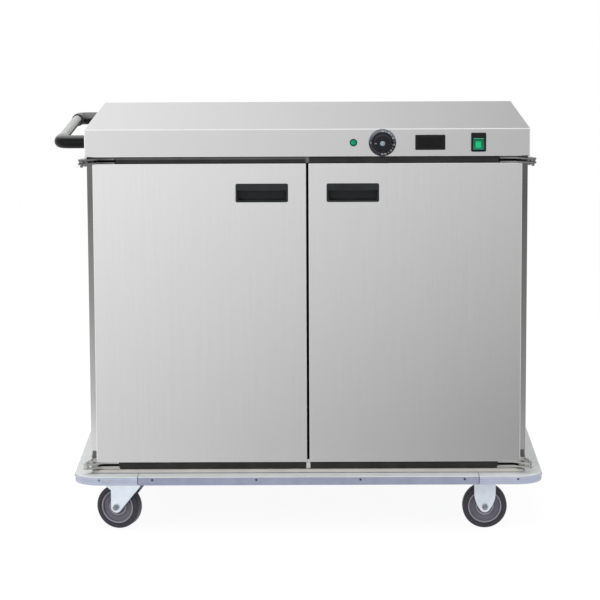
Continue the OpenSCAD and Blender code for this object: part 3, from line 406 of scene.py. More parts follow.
# Cuts a mesh in two along a plane across axis 0, 1 or 2, so that its sides can have their own finish.
def cutAcross(bm, axis, at):
    point, direction = [0, 0, 0], [0, 0, 0]
    point[axis], direction[axis] = at, 1
    bmesh.ops.bisect_plane(bm, geom=bm.verts[:] + bm.edges[:] + bm.faces[:], plane_co=point,
                           plane_no=direction, dist=0.001 * mm)


def middle(node):
    lo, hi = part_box(node)
    return (lo + hi) / 2


# The body that carries a CAD node.
def nodeBody(node):
    for body, nodes in frame["record"]["behaviour"]["bodies"].items():
        if node in nodes:
            return body
    return "root"


def paint(node, material):
    for slotOf in frame["nodes"][node].material_slots:
        slotOf.material = material


# Folded sheet, pressings and mouldings that keep the CAD's form and only have their edges rounded
sheetMetal = [
    # material, slot, rounding in mm, steps, outer edges only, nodes
    ("capSteel", "stainless_shell", 2.0, 4, True, ["top_cap"]),
    ("doorSteel", "stainless_shell", 2.0, 4, True, ["left_door_skin", "right_door_skin"]),
    ("shellSteel", "stainless_shell", 0.5, 2, True, ["outer_shell"]),
    ("frameSteel", "stainless_shell", 0.5, 2, False, ["front_frame"]),
    ("hingeSteel", "stainless_hinge", 0.5, 2, False,
     ["hinge_brackets", "left_hinge_leaves", "right_hinge_leaves"]),
    ("basePaint", "base_plate", 0.6, 2, False, ["base_deck"]),
    ("zinc", "zinc_plate", 0.5, 2, False, ["caster_plate_front_left", "caster_plate_rear_left"]),
    ("zinc", "zinc_plate", 0.7, 2, False,
     ["swivel_fork_front_left", "swivel_fork_rear_left", "fixed_fork_front_right", "fixed_fork_rear_right"]),
    ("zincBolt", "zinc_bolt", 0.5, 2, False,
     ["wheel_axle_front_left", "wheel_axle_rear_left", "wheel_axle_front_right", "wheel_axle_rear_right"]),
    ("zincBolt", "zinc_bolt", 0.4, 2, False, ["caster_bolts"]),
    ("elbow", "handle_elbow", 0.8, 3, False, ["handle_arm_front"]),
    ("elbowRear", "handle_elbow", 0.8, 3, False, ["handle_arm_rear"]),
    ("controlBlack", "control_black", 0.4, 2, False, ["display_body"]),
    ("controlBlack", "control_black", 0.5, 2, False, ["switch_housing"]),
    ("gland", "gland_nylon", 0.5, 2, False, ["cable_gland"]),
]
foldBelow = 0.99             # a face belongs to a fold when no part of its normal reaches this


def camelName(node):
    first, *rest = node.split("_")
    return first + "".join(word.capitalize() for word in rest)


for material, slot, rounding, steps, outer, nodes in sheetMetal:
    for node in nodes:
        bm = softened(node, rounding * mm, steps, outer)
        materials = [finish[material]]
        # with outer edges only, the folds get the painted highlight of edgeSteel
        if outer:
            materials.append(finish["edgeSteel"])
            for face in bm.faces:
                face.material_index = int(max(abs(k) for k in face.normal) < foldBelow)
        finishPiece(camelName(node), bm, materials, nodeBody(node), [node])
print("stage: sheet metal and castings")


bumper = {
    "rounding": 0.9 * mm,
    "paleTop": 4 * mm,       # how far down from the top the pale upper side reaches
    "joint": 1.5 * mm,       # gap between rail and corner
    "inset": 0.6 * mm,       # how far the strip in the joint lies behind the faces
    "deep": 12 * mm,         # how far the strip reaches in
    "stripFoot": 1.5 * mm,   # how far it ends above the rail's lower edge
    "screwRounding": 0.4 * mm,
    "corner": 75 * mm,       # the screws this near a corner are bright
}


def makeBumper(node, front, top):
    bm = softened(node, bumper["rounding"], 3)
    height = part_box(node)[1].z
    for face in bm.faces:
        up = face.normal.z > 0.3 and face.calc_center_median().z > height - bumper["paleTop"]
        face.material_index = int(up)
    finishPiece(camelName(node), bm, [finish[front], finish[top]], "root", [node])


makeBumper("bumper_rails", "bumperRail", "bumperTop")
makeBumper("bumper_corners", "bumperCorner", "bumperTop")


def makeScrews():
    bm = softened("bumper_screws", bumper["screwRounding"])
    lo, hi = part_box("bumper_screws")
    centre, half, corner = (lo + hi) / 2, (hi - lo) / 2, bumper["corner"]
    for face in bm.faces:
        away = face.calc_center_median() - centre
        face.material_index = int(abs(away.x) > half.x - corner and abs(away.y) > half.y - corner)
    finishPiece("bumperScrews", bm, [finish["darkScrew"], finish["zincBolt"]], "root",
                ["bumper_screws"])


makeScrews()


# Dark strips in the joints between the rails and the corners.
def makeJoints():
    lo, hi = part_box("bumper_rails")
    points = [v.co for v in frame["nodes"]["bumper_rails"].data.vertices]
    onFace = 5 * mm          # points this near the outside belong to that side's rail
    endX = max(v.x for v in points if v.y < lo.y + onFace)
    endY = max(v.y for v in points if v.x < lo.x + onFace)
    middleX, middleY = (lo.x + hi.x) / 2, (lo.y + hi.y) / 2
    gap, inset, deep = bumper["joint"], bumper["inset"], bumper["deep"]
    low, high = lo.z + bumper["stripFoot"], hi.z - inset
    bm = bmesh.new()
    for sx in (-1, 1):
        for sy in (-1, 1):
            along = sorted((middleX + sx * (endX - middleX), middleX + sx * (endX - middleX + gap)))
            face = hi.y if sy > 0 else lo.y
            boxBetween(bm, (along[0], face - sy * inset, low), (along[1], face - sy * deep, high))
            along = sorted((middleY + sy * (endY - middleY), middleY + sy * (endY - middleY + gap)))
            face = hi.x if sx > 0 else lo.x
            boxBetween(bm, (face - sx * inset, along[0], low), (face - sx * deep, along[1], high))
    finishPiece("bumperJoints", bm, [finish["sealBlack"]], "root")


makeJoints()


doorSeals = {
    "rounding": 0.3 * mm,
    "highlightShare": 0.38,       # upper part of the strip above the left door that takes the painted highlight
    "highlightStop": 8 * mm,      # the painted highlight stops this far from the hinge
}


# The gaskets and strips of a door: the left door's upper strip has a grey painted highlight along its upper
# edge.
def makeSeals(side):
    node = side + "_door_seals"
    bm = softened(node, doorSeals["rounding"])
    lo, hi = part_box(node)
    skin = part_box(side + "_door_skin")
    split = hi.z - doorSeals["highlightShare"] * (hi.z - skin[1].z)
    outer = lo.x + doorSeals["highlightStop"] if side == "left" else hi.x - doorSeals["highlightStop"]
    cutAcross(bm, 2, split)
    cutAcross(bm, 0, outer)
    for face in bm.faces:
        at = face.calc_center_median()
        inside = at.x > outer if side == "left" else at.x < outer
        # the front faces of the upper band take the painted highlight
        face.material_index = int(at.z > split and face.normal.y < -0.2 and inside)
    upper = finish["sealHighlight" if side == "left" else "seal"]
    finishPiece(side + "DoorSeals", bm, [finish["seal"], upper], "door_" + side, [node])


for side in ("left", "right"):
    makeSeals(side)


postStrip = {
    "half": 3.8 * mm,        # half its width
    "thick": 4.2 * mm,
    "radius": 1.2 * mm,      # of its front edges
    "short": 2 * mm,         # how far it ends inside the doors' height
    "sunk": 0.15 * mm,       # into the frame
}


# Bump strip on the middle post, seen as a black line between the doors.
def makePostStrip():
    left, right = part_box("left_door_skin"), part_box("right_door_skin")
    centre = (left[1].x + right[0].x) / 2
    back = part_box("left_door_seals")[1].y + postStrip["sunk"]
    low, high = left[0].z + postStrip["short"], left[1].z - postStrip["short"]
    half, thick, r = postStrip["half"], postStrip["thick"], postStrip["radius"]
    rings = []
    for z in (low, high):
        rings.append([Vector((centre + x, back - y, z)) for x, y in
                      ((-half, 0), (half, 0), (half, thick - r), (half - 0.3 * r, thick - 0.3 * r),
                       (half - r, thick), (r - half, thick), (0.3 * r - half, thick - 0.3 * r),
                       (-half, thick - r))])
    finishPiece("postStrip", loft(rings), [finish["sealBlack"]], "root")


makePostStrip()


trim = {
    "plate": 4 * mm,         # thickness of the hinge plates
    "play": 0.05 * mm,       # between a hinge plate and the rubber
    "strip": 1.6 * mm,       # rubber behind the hinges
    "lap": 1 * mm,           # how far the rubber reaches past the hinge and under the door
    "sunk": 0.25 * mm,       # how far the trim is let into the frame
    "buffer": (9 * mm, 18 * mm, 3 * mm),                 # width, height, thickness
    "bufferRise": 5 * mm,    # above the bottom of the doors
    "beadShort": 7 * mm,     # how far the bead ends inside the cabinet's sides
    # section of the bead: mm from the frame, mm above the deck
    "bead": ((-27, 0.3), (-29, 1.4), (-28, 6.5), (-25, 8.6), (-20, 8.6), (-20, 0.3)),
}


# Rubber behind the hinge plates, so the gap between them is black, and a buffer on the foot of each stile.
def makeHingeTrim():
    brackets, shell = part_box("hinge_brackets"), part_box("outer_shell")
    plate, lap = trim["plate"] + trim["play"], trim["lap"]
    for side, sign in (("left", -1), ("right", 1)):
        leaves, skin, seals = (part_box(side + end) for end in ("_hinge_leaves", "_door_skin", "_door_seals"))
        inner = leaves[1].x + lap if sign < 0 else leaves[0].x - lap
        outer = skin[0].x + lap if sign < 0 else skin[1].x - lap
        back = seals[1].y + trim["sunk"]
        bm = bmesh.new()
        for low, high in ((brackets[0].z + plate, skin[0].z + lap), (skin[1].z - lap, brackets[1].z - plate)):
            boxBetween(bm, (inner, back - trim["strip"], low), (outer, back, high))
        finishPiece(side + "HingeRubber", bm, [finish["sealBlack"]], "root")

        wide, tall, thick = trim["buffer"]
        edge = skin[0].x if sign < 0 else skin[1].x
        middleX = (edge + (shell[0].x if sign < 0 else shell[1].x)) / 2
        low = skin[0].z + trim["bufferRise"]
        centre = (middleX, low + tall / 2)
        rings = [frontRing(centre, wide, tall, 2 * mm, back),
                 frontRing(centre, wide, tall, 2 * mm, back - thick + 0.8 * mm),
                 frontRing(centre, wide - 0.5 * mm, tall - 0.5 * mm, 1.8 * mm, back - thick + 0.2 * mm),
                 frontRing(centre, wide - 1.6 * mm, tall - 1.6 * mm, 1.2 * mm, back - thick)]
        finishPiece(side + "StileBuffer", loft(rings), [finish["buffer"]], "root")


makeHingeTrim()


# Pale bead along the foot of the cabinet's front.
def makeBead():
    shell, seals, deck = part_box("outer_shell"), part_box("left_door_seals"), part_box("base_deck")
    back = seals[1].y + trim["sunk"]
    rings = [[Vector((x, back + y * mm, deck[1].z + z * mm)) for y, z in trim["bead"]]
             for x in (shell[0].x + trim["beadShort"], shell[1].x - trim["beadShort"])]
    finishPiece("sillBead", loft(rings), [finish["bead"]], "root")


makeBead()
print("stage: bumper and seals")


pull = {
    "lip": 16 * mm,          # hood above the opening
    "sill": 4.5 * mm,        # edge below it
    "margin": 4.5 * mm,      # to each side of the opening
    "cup": 2 * mm,           # how far the cup behind the door is smaller, all round
    "wall": 2.5 * mm,
    "bow": 1.2 * mm,         # how far the hood's edge hangs in the middle
    "flange": 1.5 * mm,
}


# A recessed pull in one skin: from the back of the cup, round the flange, through the opening and inside.
def makePull(side):
    node = side + "_door_pull"
    lo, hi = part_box(node)
    front = lo.y + pull["flange"]
    centre = ((lo.x + hi.x) / 2, (lo.z + hi.z) / 2)
    w, h = hi.x - lo.x, hi.z - lo.z
    holeW, holeH = w - 2 * pull["margin"], h - pull["lip"] - pull["sill"]
    hole = (centre[0], lo.z + pull["sill"] + holeH / 2)
    outW, outH = w - 2 * pull["cup"], h - 2 * pull["cup"]
    cupW, cupH = outW - 2 * pull["wall"], outH - 2 * pull["wall"]
    bow = pull["bow"]
    rings = [
        # outside of the cup
        frontRing(centre, outW, outH, 3 * mm, hi.y),
        frontRing(centre, outW, outH, 3 * mm, front),
        # flange, its front edge rounded
        frontRing(centre, w, h, 4 * mm, front),
        frontRing(centre, w, h, 4 * mm, lo.y + 0.6 * mm),
        frontRing(centre, w - 0.4 * mm, h - 0.4 * mm, 3.9 * mm, lo.y + 0.2 * mm),
        frontRing(centre, w - 1.2 * mm, h - 1.2 * mm, 3.6 * mm, lo.y),
        # opening, its edge rounded too
        frontRing(hole, holeW + 1.2 * mm, holeH + 1.2 * mm, 2.4 * mm, lo.y, bow),
        frontRing(hole, holeW + 0.4 * mm, holeH + 0.4 * mm, 2.1 * mm, lo.y + 0.2 * mm, bow),
        frontRing(hole, holeW, holeH, 2 * mm, lo.y + 0.7 * mm, bow),
        frontRing(hole, holeW, holeH, 2 * mm, front + 2.5 * mm, bow),
        # inside of the cup, wider than the opening
        frontRing(centre, cupW, cupH, 2 * mm, front + 2.6 * mm),
        frontRing(centre, cupW, cupH, 2 * mm, hi.y - 4.5 * mm),
        frontRing(centre, cupW - 4 * mm, cupH - 4 * mm, 2 * mm, hi.y - 2.5 * mm),
    ]
    finishPiece(side + "DoorPull", loft(rings), [finish["pullBlack"]], "door_" + side, [node])


for side in ("left", "right"):
    makePull(side)
print("stage: door pulls")


wheel = {
    # all in mm
    "radius": 53,
    "width": 32,
    "hub": 40.0,             # its radius, where the tyre begins
    "shoulder": 6.0,         # radius of the tyre's edges
    "sleeve": 6.08,          # radius of the hole for the axle's sleeve
    "boss": 19.2,            # half the boss's length
    "rim": 3.4,              # width of the pale ring around the hub, a painted highlight
    "bead": (18.2, 21.8),    # pale ring around the boss
    "steps": 128,
    # degrees by which the swivel casters stand turned, mirrored front to back
    "turned": {"front_left": -18, "rear_left": 18, "front_right": 0, "rear_right": 0},
}


# Turns a half profile of (radius, height) in mm and its mirror image about the wheel's axis.
def turnBothSides(centre, axis, half):
    profile = [(r * mm, h * mm) for r, h in half + [(r, -h) for r, h in reversed(half)]]
    return lathe(centre, axis, profile, wheel["steps"])


def makeWheel(corner, turned):
    tyreNode, hubNode = "wheel_tyre_" + corner, "wheel_hub_" + corner
    centre = middle(tyreNode)
    axis = Matrix.Rotation(math.radians(turned), 3, "Z") @ Vector((0, -1, 0))
    R, half, hub = wheel["radius"], wheel["width"] / 2, wheel["hub"]
    s = wheel["shoulder"]
    # a groove runs round the side, close to the hub
    tyreSide = [(hub, half - 1.2), (hub + 0.6, half - 0.4), (hub + 2.2, half), (hub + 2.9, half - 0.5),
                (hub + 3.4, half - 0.5), (hub + 4.0, half)]
    arc = [(R - s + s * math.sin(a), half - s + s * math.cos(a))
           for a in (math.radians(90 * i / 8) for i in range(9))]
    bm = turnBothSides(centre, axis, tyreSide + arc)
    finishPiece(camelName(tyreNode), bm, [finish["tyre"]], nodeBody(tyreNode), [tyreNode])

    b, boss = wheel["sleeve"], wheel["boss"]
    rim, (beadIn, beadOut) = hub - wheel["rim"], wheel["bead"]
    # boss, bead, hollow web, rim
    face = [(b, boss), (b + 4.4, boss), (b + 5, boss - 0.6), (b + 5, 11.5), (b + 6.5, 10.2),
            (beadIn - 1, 10.2), (beadIn, 12.0), (beadOut, 12.0), (beadOut + 1.4, 9.4),
            (25, 8.2), (31, 8.0),
            (rim - 1.6, 9.4), (rim - 0.4, 13.2), (rim, half - 1.2), (rim + 0.5, half - 0.4),
            (hub - 0.6, half - 0.4), (hub, half - 1.0)]
    bm = turnBothSides(centre, axis, face)
    for f in bm.faces:
        away = f.calc_center_median() - centre
        radius = (away - axis * away.dot(axis)).length / mm
        # the pale ring at the rim is a painted highlight
        pale = radius > rim - 0.3 or beadIn - 0.6 < radius < beadOut + 0.2
        f.material_index = int(pale)
    finishPiece(camelName(hubNode), bm, [finish["hub"], finish["hubRim"]], nodeBody(hubNode),
                [hubNode])


for corner, turned in wheel["turned"].items():
    makeWheel(corner, turned)
print("stage: wheels")


dial = {
    # degrees clockwise from the top, and the number there
    "marks": [(0, "30"), (34, "40"), (67.6, "50"), (100.5, "60"), (133.5, "70"), (166, "80"), (180, "85"),
              (270, "0")],
    "dots": [16, 49, 85, 117, 148],
    "markRadius": 27.0 * mm,
    "markHeight": 3.9 * mm,
    "markSize": 1.4,         # size of the type for a digit of height 1
    "dotRadius": 0.9 * mm,
    "steps": 128,
}


# Where a mark stands, at an angle clockwise from the top and a depth y.
def dialPlace(centre, angle, y):
    a = math.radians(angle)
    return Vector((centre.x + dial["markRadius"] * math.sin(a), y,
                   centre.z + dial["markRadius"] * math.cos(a)))


def makeDial():
    lo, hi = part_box("dial_plate")
    centre = Vector(((lo.x + hi.x) / 2, hi.y, (lo.z + hi.z) / 2))
    r = (hi.x - lo.x) / 2 / mm
    # from the hole for the shaft out to the edge, up the conical skirt and down into the knob's seat
    profile = [(4.85, 0), (r, 0), (r, 2.4), (r - 0.4, 3.2), (r - 1.2, 3.8), (r - 2.2, 4.1),
               (24.9, 5.0), (24.3, 4.7), (24.1, 4.0), (24.1, 2.0), (21.0, 2.0), (21.0, 4.6), (4.85, 4.6)]
    bm = lathe(centre, (0, -1, 0), [(a * mm, b * mm) for a, b in profile], dial["steps"])
    finishPiece("dialPlate", bm, [finish["dialPlate"]], "root", ["dial_plate"])

    face = lo.y + 0.2 * mm   # the skirt's surface where the numbers stand
    bm = bmesh.new()
    for angle, text in dial["marks"]:
        curve = bpy.data.curves.new("dialText", "FONT")
        curve.body = text
        curve.size = dial["markHeight"] * dial["markSize"]
        curve.align_x = curve.align_y = "CENTER"
        curve.extrude = 0.12 * mm
        curve.resolution_u = 3
        label = bpy.data.objects.new("dialText", curve)
        bpy.context.scene.collection.objects.link(label)
        bpy.context.view_layer.update()
        glyphs = bpy.data.meshes.new_from_object(label)
        bpy.data.objects.remove(label)
        place = dialPlace(centre, angle, face - 0.08 * mm)
        glyphs.transform(Matrix.Translation(place) @ Matrix.Rotation(math.pi / 2, 4, "X"))
        bm.from_mesh(glyphs)
        bpy.data.meshes.remove(glyphs)
    dotRadius = dial["dotRadius"]
    for angle in dial["dots"]:
        lathe(dialPlace(centre, angle, face + 0.1 * mm), (0, -1, 0),
              [(dotRadius, 0), (dotRadius, 0.25 * mm), (0.6 * dotRadius, 0.32 * mm)], 16, False, bm)
    finishPiece("dialMarks", bm, [finish["dialMark"]], "root")


makeDial()


knob = {
    # all in mm
    "height": 19.0,
    "gap": 0.3,              # above the dial's plate
    "sunk": 1.0,             # how far the middle lies below the top edge
    "flutes": 36,
    "stepsPerFlute": 8,
    "disc": 5.7,             # radius of the plain disc in the middle
    "pointer": (18.6, 13.4),           # from the middle to its outer and inner end
    "pointerWidth": 1.5,
}


def makeKnob():
    plateLo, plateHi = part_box("dial_plate")
    centre = Vector(((plateLo.x + plateHi.x) / 2, plateLo.y - knob["gap"] * mm,
                     (plateLo.z + plateHi.z) / 2))
    height, flutes = knob["height"], knob["flutes"]
    top = height - knob["sunk"]
    count = flutes * knob["stepsPerFlute"]
    # radius, height, depth of the flutes: shaft, foot, grip, crown, middle
    profile = [(3.0, -20, 0), (3.0, 0, 0), (22.6, 0, 0), (23.0, 0.5, 0), (23.0, 1.9, 0), (22.2, 2.6, 0),
               (21.5, 3.0, 0.35), (21.2, 6.0, 0.55), (20.5, 12.0, 0.55), (19.9, 15.6, 0.4),
               (19.2, 17.2, 0.1), (18.2, 18.4, 0), (16.9, height, 0), (15.8, height, 0),
               (15.2, height - 0.5, 0), (14.8, top, 0), (0.4, top, 0)]
    rings = []
    for r, h, flute in profile:
        ring = []
        for i in range(count):
            a = 2 * math.pi * i / count
            radius = (r - flute * (0.5 + 0.5 * math.cos(flutes * a))) * mm
            ring.append(Vector((centre.x + radius * math.cos(a), centre.y - h * mm,
                                centre.z + radius * math.sin(a))))
        rings.append(ring)
    finishPiece("dialKnob", loft(rings), [finish["knobBlack"]], "knob", ["dial_knob"], 30)

    disc = knob["disc"]
    profile = [(disc, top - 0.5), (disc, top + 0.3), (disc - 0.4, top + 0.6), (0.2, top + 0.6)]
    bm = lathe(centre, (0, -1, 0), [(a * mm, b * mm) for a, b in profile], 64, False)
    finishPiece("knobDisc", bm, [finish["capDisc"]], "knob")

    # the pointer line stands at nine o'clock
    far, close = (centre.x - away * mm for away in knob["pointer"])
    at, length, width = ((far + close) / 2, centre.z), close - far, knob["pointerWidth"] * mm
    rings = [frontRing(at, length, width, 0.6 * mm, centre.y - 15.0 * mm),
             frontRing(at, length, width, 0.6 * mm, centre.y - (height + 0.35) * mm),
             frontRing(at, length - 0.5 * mm, width - 0.5 * mm, 0.4 * mm, centre.y - (height + 0.6) * mm)]
    finishPiece("knobPointer", loft(rings), [finish["hubRim"]], "knob")


makeKnob()
print("stage: dial and knob")


pilotLamp = {
    # all in mm
    "radius": 8.85,
    "stem": 23,              # how far it reaches behind the panel
    "lens": 2.2,             # how much smaller the lens is than the bezel
    "dome": 2.2,             # how far the lens bulges
    "steps": 64,
}


def makeLamp():
    lo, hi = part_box("pilot_lamp")
    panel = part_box("top_cap")[0].y
    centre = Vector(((lo.x + hi.x) / 2, panel, (lo.z + hi.z) / 2))
    r = pilotLamp["radius"]
    bezel = [(r - 3, -pilotLamp["stem"]), (r, -0.01), (r, 1.2), (r - 0.5, 2.2), (r - 1.2, 2.6),
             (r - 2.0, 2.4), (r - 2.3, 1.4), (r - 3, 0.6)]
    bm = lathe(centre, (0, -1, 0), [(a * mm, b * mm) for a, b in bezel], pilotLamp["steps"], False)
    finishPiece("pilotLampBezel", bm, [finish["greenEdge"]], "root", ["pilot_lamp"])

    lens = r - pilotLamp["lens"]
    dome = [(lens, 0.5)] + [(lens * math.cos(a), 0.9 + pilotLamp["dome"] * math.sin(a))
                            for a in (math.radians(88 * i / 8) for i in range(9))]
    bm = lathe(centre, (0, -1, 0), [(a * mm, b * mm) for a, b in dome], pilotLamp["steps"], False)
    finishPiece("pilotLampLens", bm, [finish["greenLens"]], "root")


makeLamp()


def makeDisplayWindow():
    lo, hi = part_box("display_window")
    centre = ((lo.x + hi.x) / 2, (lo.z + hi.z) / 2)
    w, h = hi.x - lo.x, hi.z - lo.z
    rings = [frontRing(centre, w, h, 0.8 * mm, hi.y), frontRing(centre, w, h, 0.8 * mm, lo.y + 0.25 * mm),
             frontRing(centre, w - 0.5 * mm, h - 0.5 * mm, 0.7 * mm, lo.y)]
    finishPiece("displayWindow", loft(rings), [finish["displayGlass"]], "root",
                ["display_window"])


makeDisplayWindow()


rocker = {
    "rounding": 0.7 * mm,
    "side": 1.6 * mm,        # duller band down each side
    "crest": 2.7 * mm,       # pale band along the top, a painted highlight
    "foot": 6.0 * mm,        # duller band along the bottom
    "window": (13 * mm, 15 * mm),                        # lit field, width and height
    "windowOff": (-0.8 * mm, -1.0 * mm),                 # its place from the middle
    "pin": 2.2 * mm,         # how far the pins reach past the rocker's sides
}


# The rocker of the switch: its front is cut into a lit field, a pale crest that is a painted highlight, and
# duller bands.
def makeRocker():
    bm = softened("switch_rocker", rocker["rounding"], 3)
    lo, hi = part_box("switch_rocker")
    left, right = lo.x + rocker["pin"], hi.x - rocker["pin"]
    wx = (left + right) / 2 + rocker["windowOff"][0]
    wz = (lo.z + hi.z) / 2 + rocker["windowOff"][1]
    halfW, halfH = rocker["window"][0] / 2, rocker["window"][1] / 2
    for at in (left + rocker["side"], right - rocker["side"], wx - halfW, wx + halfW):
        cutAcross(bm, 0, at)
    for at in (hi.z - rocker["crest"], lo.z + rocker["foot"], wz - halfH, wz + halfH):
        cutAcross(bm, 2, at)
    for face in bm.faces:
        at = face.calc_center_median()
        kind = 0
        if face.normal.y < -0.3:
            if abs(at.x - wx) < halfW and abs(at.z - wz) < halfH:
                kind = 1
            elif at.z > hi.z - rocker["crest"]:
                kind = 2
            elif at.z < lo.z + rocker["foot"] or not left + rocker["side"] < at.x < right - rocker["side"]:
                kind = 3
        face.material_index = kind
    greens = [finish[name] for name in ("greenRocker", "greenWindow", "greenRim", "greenFoot")]
    finishPiece("switchRocker", bm, greens, "rocker", ["switch_rocker"])


makeRocker()
print("stage: controls")


handle = {
    "ribPitch": 3.2 * mm,
    "ribDepth": 0.3 * mm,
    "step": 0.8 * mm,        # length of a face along the bar
    "wall": 2.5 * mm,        # of the bar's tube
    "steps": 48,
    "darkFrom": 0.62,        # share of the radius beyond which the inner lower side is black
    "ringWidth": 4 * mm,     # black washers where the arms meet the cap
    "ringProud": 0.3 * mm,
}


def makeBar():
    lo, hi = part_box("handle_bar")
    r = (hi.z - lo.z) / 2
    start = Vector(((lo.x + hi.x) / 2, lo.y, (lo.z + hi.z) / 2))
    length = hi.y - lo.y
    inner = r - handle["wall"]
    profile = [(inner, 0)]
    count = round(length / handle["step"])
    for i in range(count + 1):
        y = length * i / count
        wave = 0.5 - 0.5 * math.cos(2 * math.pi * y / handle["ribPitch"])
        profile.append((r - handle["ribDepth"] * wave, y))
    profile.append((inner, length))
    bm = lathe(start, (0, 1, 0), profile, handle["steps"])
    for face in bm.faces:
        away = face.calc_center_median() - start
        face.material_index = int(0.7 * away.x - 0.7 * away.z > handle["darkFrom"] * r)
    finishPiece("handleBar", bm, [finish["grip"], finish["gripUnder"]], "root",
                ["handle_bar"], 50)


makeBar()


def makeArmRing(end):
    lo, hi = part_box("handle_arm_" + end)
    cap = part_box("top_cap")[0].x
    r = (hi.z - lo.z) / 2
    front = end == "front"
    centre = (cap, lo.y + r if front else hi.y - r, (lo.z + hi.z) / 2)
    inner, outer, wide = r - 0.4 * mm, r + handle["ringProud"], handle["ringWidth"]
    profile = [(inner, 0.05 * mm), (outer, 0.05 * mm), (outer, wide - 0.4 * mm), (outer - 0.3 * mm, wide),
               (inner, wide)]
    bm = lathe(centre, (-1, 0, 0), profile, 64)
    finishPiece("handleRing" + end.capitalize(), bm, [finish["sealBlack"]], "root")


for end in ("front", "rear"):
    makeArmRing(end)
print("stage: push handle")


# CAD nodes that keep their own shape, and their finishes
kept = {
    "inner_liner": "linerSteel", "insulation": "wool", "centre_partition": "linerSteel",
    "shelf_runners": "linerSteel", "left_shelves": "wire", "right_shelves": "wire",
    "heater_elements": "heaterTube", "heater_covers": "linerSteel", "thermostat": "controlBlack",
    "left_door_back": "linerSteel", "right_door_back": "linerSteel", "left_door_core": "wool",
    "right_door_core": "wool",
}
for node, material in kept.items():
    paint(node, finish[material])


studio = {
    "floor": 12.0,           # m, side of the square
    "floorShare": 0.86,      # how much of the floor's white doesn't depend on the light
    "floorWhite": 1.07,
    "floorGrey": 0.85,       # its colour where it takes the object's shadow
    "roomTone": 0.55,        # soft light from all round
    "lamps": [
        # name, place, aim, width, height, watts
        ("keyLamp", (-3.2, -3.6, 3.6), (-0.1, -0.2, 0.6), 2.4, 2.4, 120),
        ("fillLamp", (3.6, -4.2, 1.6), (0.0, 0.0, 0.5), 2.0, 2.0, 24),
        ("sideLamp", (2.8, 0.4, 2.6), (0.5, 0.0, 0.2), 1.2, 1.2, 20),
        ("topLamp", (-0.4, -0.2, 4.2), (0.0, 0.0, 0.9), 2.4, 2.4, 62),
    ],
    "cards": [
        # grey boards that only reflections show: name, four corners, tone at each
        ("floorBoard", [(-1.0, -0.7, 0.004), (1.0, -0.7, 0.004), (5.0, -9.0, 0.004), (-5.0, -9.0, 0.004)],
         [1.10, 0.12, 0.14, 2.10]),
        ("frontBoard", [(-5.0, -9.0, 0.0), (5.0, -9.0, 0.0), (5.0, -9.0, 2.6), (-5.0, -9.0, 2.6)],
         [2.10, 0.10, 0.10, 2.10]),
        ("backBoard", [(-3.0, 4.5, 0.0), (3.0, 4.5, 0.0), (3.0, 4.5, 6.0), (-3.0, 4.5, 6.0)],
         [1.66, 0.04, 0.04, 1.66]),
    ],
}


# White to the camera, to glossy and to see-through rays: gives the node that says so.
def seenDirectly(tree):
    ray = add(tree, "ShaderNodeLightPath")
    seen = add(tree, "ShaderNodeMath", {"operation": "MAXIMUM"},
               {0: (ray, "Is Camera Ray"), 1: (ray, "Is Glossy Ray")})
    return add(tree, "ShaderNodeMath", {"operation": "MAXIMUM"},
               {0: (seen, 0), 1: (ray, "Is Transmission Ray")})


def hangLamp(name, place, aim, width, height, watts):
    data = bpy.data.lights.new(name, "AREA")
    data.shape = "RECTANGLE"
    data.size, data.size_y = width, height
    data.energy = watts
    lamp = bpy.data.objects.new(name, data)
    lamp.location = place
    lamp.rotation_euler = (Vector(aim) - Vector(place)).to_track_quat("-Z", "Y").to_euler()
    lamp.visible_glossy = False                  # the cap would show it as a white patch
    bpy.context.scene.collection.objects.link(lamp)


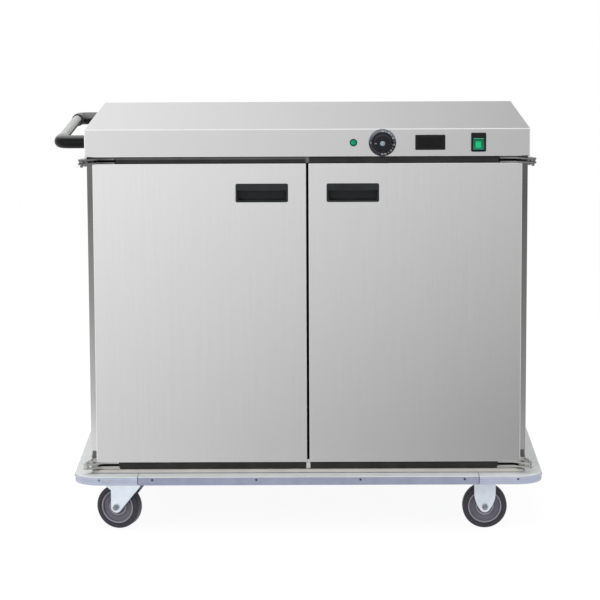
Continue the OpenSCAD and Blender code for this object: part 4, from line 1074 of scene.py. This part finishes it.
# A board of grey, its tone blended between its corners, that only glossy surfaces see.
def makeCard(name, corners, tones, cells=12):
    bm = bmesh.new()
    layer = bm.verts.layers.float_color.new("tone")
    a, b, c, d = (Vector(p) for p in corners)
    toneA, toneB, toneC, toneD = tones
    rows = []
    for i in range(cells + 1):
        v = i / cells
        row = []
        for j in range(cells + 1):
            u = j / cells
            vert = bm.verts.new(a.lerp(b, u).lerp(d.lerp(c, u), v))
            tone = (toneA * (1 - u) + toneB * u) * (1 - v) + (toneD * (1 - u) + toneC * u) * v
            vert[layer] = (tone, tone, tone, 1)
            row.append(vert)
        rows.append(row)
    for low, high in zip(rows, rows[1:]):
        for j in range(cells):
            bm.faces.new((low[j], low[j + 1], high[j + 1], high[j]))
    mesh = bpy.data.meshes.new(name)
    bm.to_mesh(mesh)
    bm.free()
    material, tree = newTree(name + "Paint")
    tone = add(tree, "ShaderNodeAttribute", {"attribute_name": "tone"})
    glow = add(tree, "ShaderNodeEmission", {"Strength": 1.0}, {"Color": (tone, "Color")})
    add(tree, "ShaderNodeOutputMaterial", {}, {"Surface": (glow, 0)})
    mesh.materials.append(material)
    card = bpy.data.objects.new(name, mesh)
    card.visible_camera = card.visible_diffuse = card.visible_transmission = False
    card.visible_shadow = card.visible_volume_scatter = False
    bpy.context.scene.collection.objects.link(card)


def makeStudio(spec):
    scene = bpy.context.scene
    for lamp in spec["lamps"]:
        hangLamp(*lamp)
    for card in spec["cards"]:
        makeCard(*card)

    world = bpy.data.worlds.new("studio")
    world.use_nodes = True
    tree = world.node_tree
    tree.nodes.clear()
    room = add(tree, "ShaderNodeBackground", {"Color": (1, 1, 1, 1), "Strength": spec["roomTone"]})
    white = add(tree, "ShaderNodeBackground", {"Color": (1, 1, 1, 1), "Strength": 1.0})
    both = add(tree, "ShaderNodeMixShader", {}, {"Fac": (seenDirectly(tree), 0), 1: (room, 0), 2: (white, 0)})
    add(tree, "ShaderNodeOutputWorld", {}, {"Surface": (both, 0)})
    scene.world = world

    half = spec["floor"] / 2
    square = [(-half, -half, 0), (half, -half, 0), (half, half, 0), (-half, half, 0)]
    mesh = bpy.data.meshes.new("studioFloor")
    mesh.from_pydata(square, [], [(0, 1, 2, 3)])
    floor = bpy.data.objects.new("studioFloor", mesh)
    scene.collection.objects.link(floor)
    material, tree = newTree("paintedFloor")
    share = add(tree, "ShaderNodeMath", {"operation": "MULTIPLY"}, {0: (seenDirectly(tree), 0)})
    share.inputs[1].default_value = spec["floorShare"]
    grey = spec["floorGrey"]
    matt = add(tree, "ShaderNodeBsdfDiffuse", {"Color": (grey, grey, grey, 1)})
    white = add(tree, "ShaderNodeEmission", {"Color": (1, 1, 1, 1), "Strength": spec["floorWhite"]})
    both = add(tree, "ShaderNodeMixShader", {}, {"Fac": (share, 0), 1: (matt, 0), 2: (white, 0)})
    add(tree, "ShaderNodeOutputMaterial", {}, {"Surface": (both, 0)})
    mesh.materials.append(material)


makeStudio(studio)
print("stage: studio")
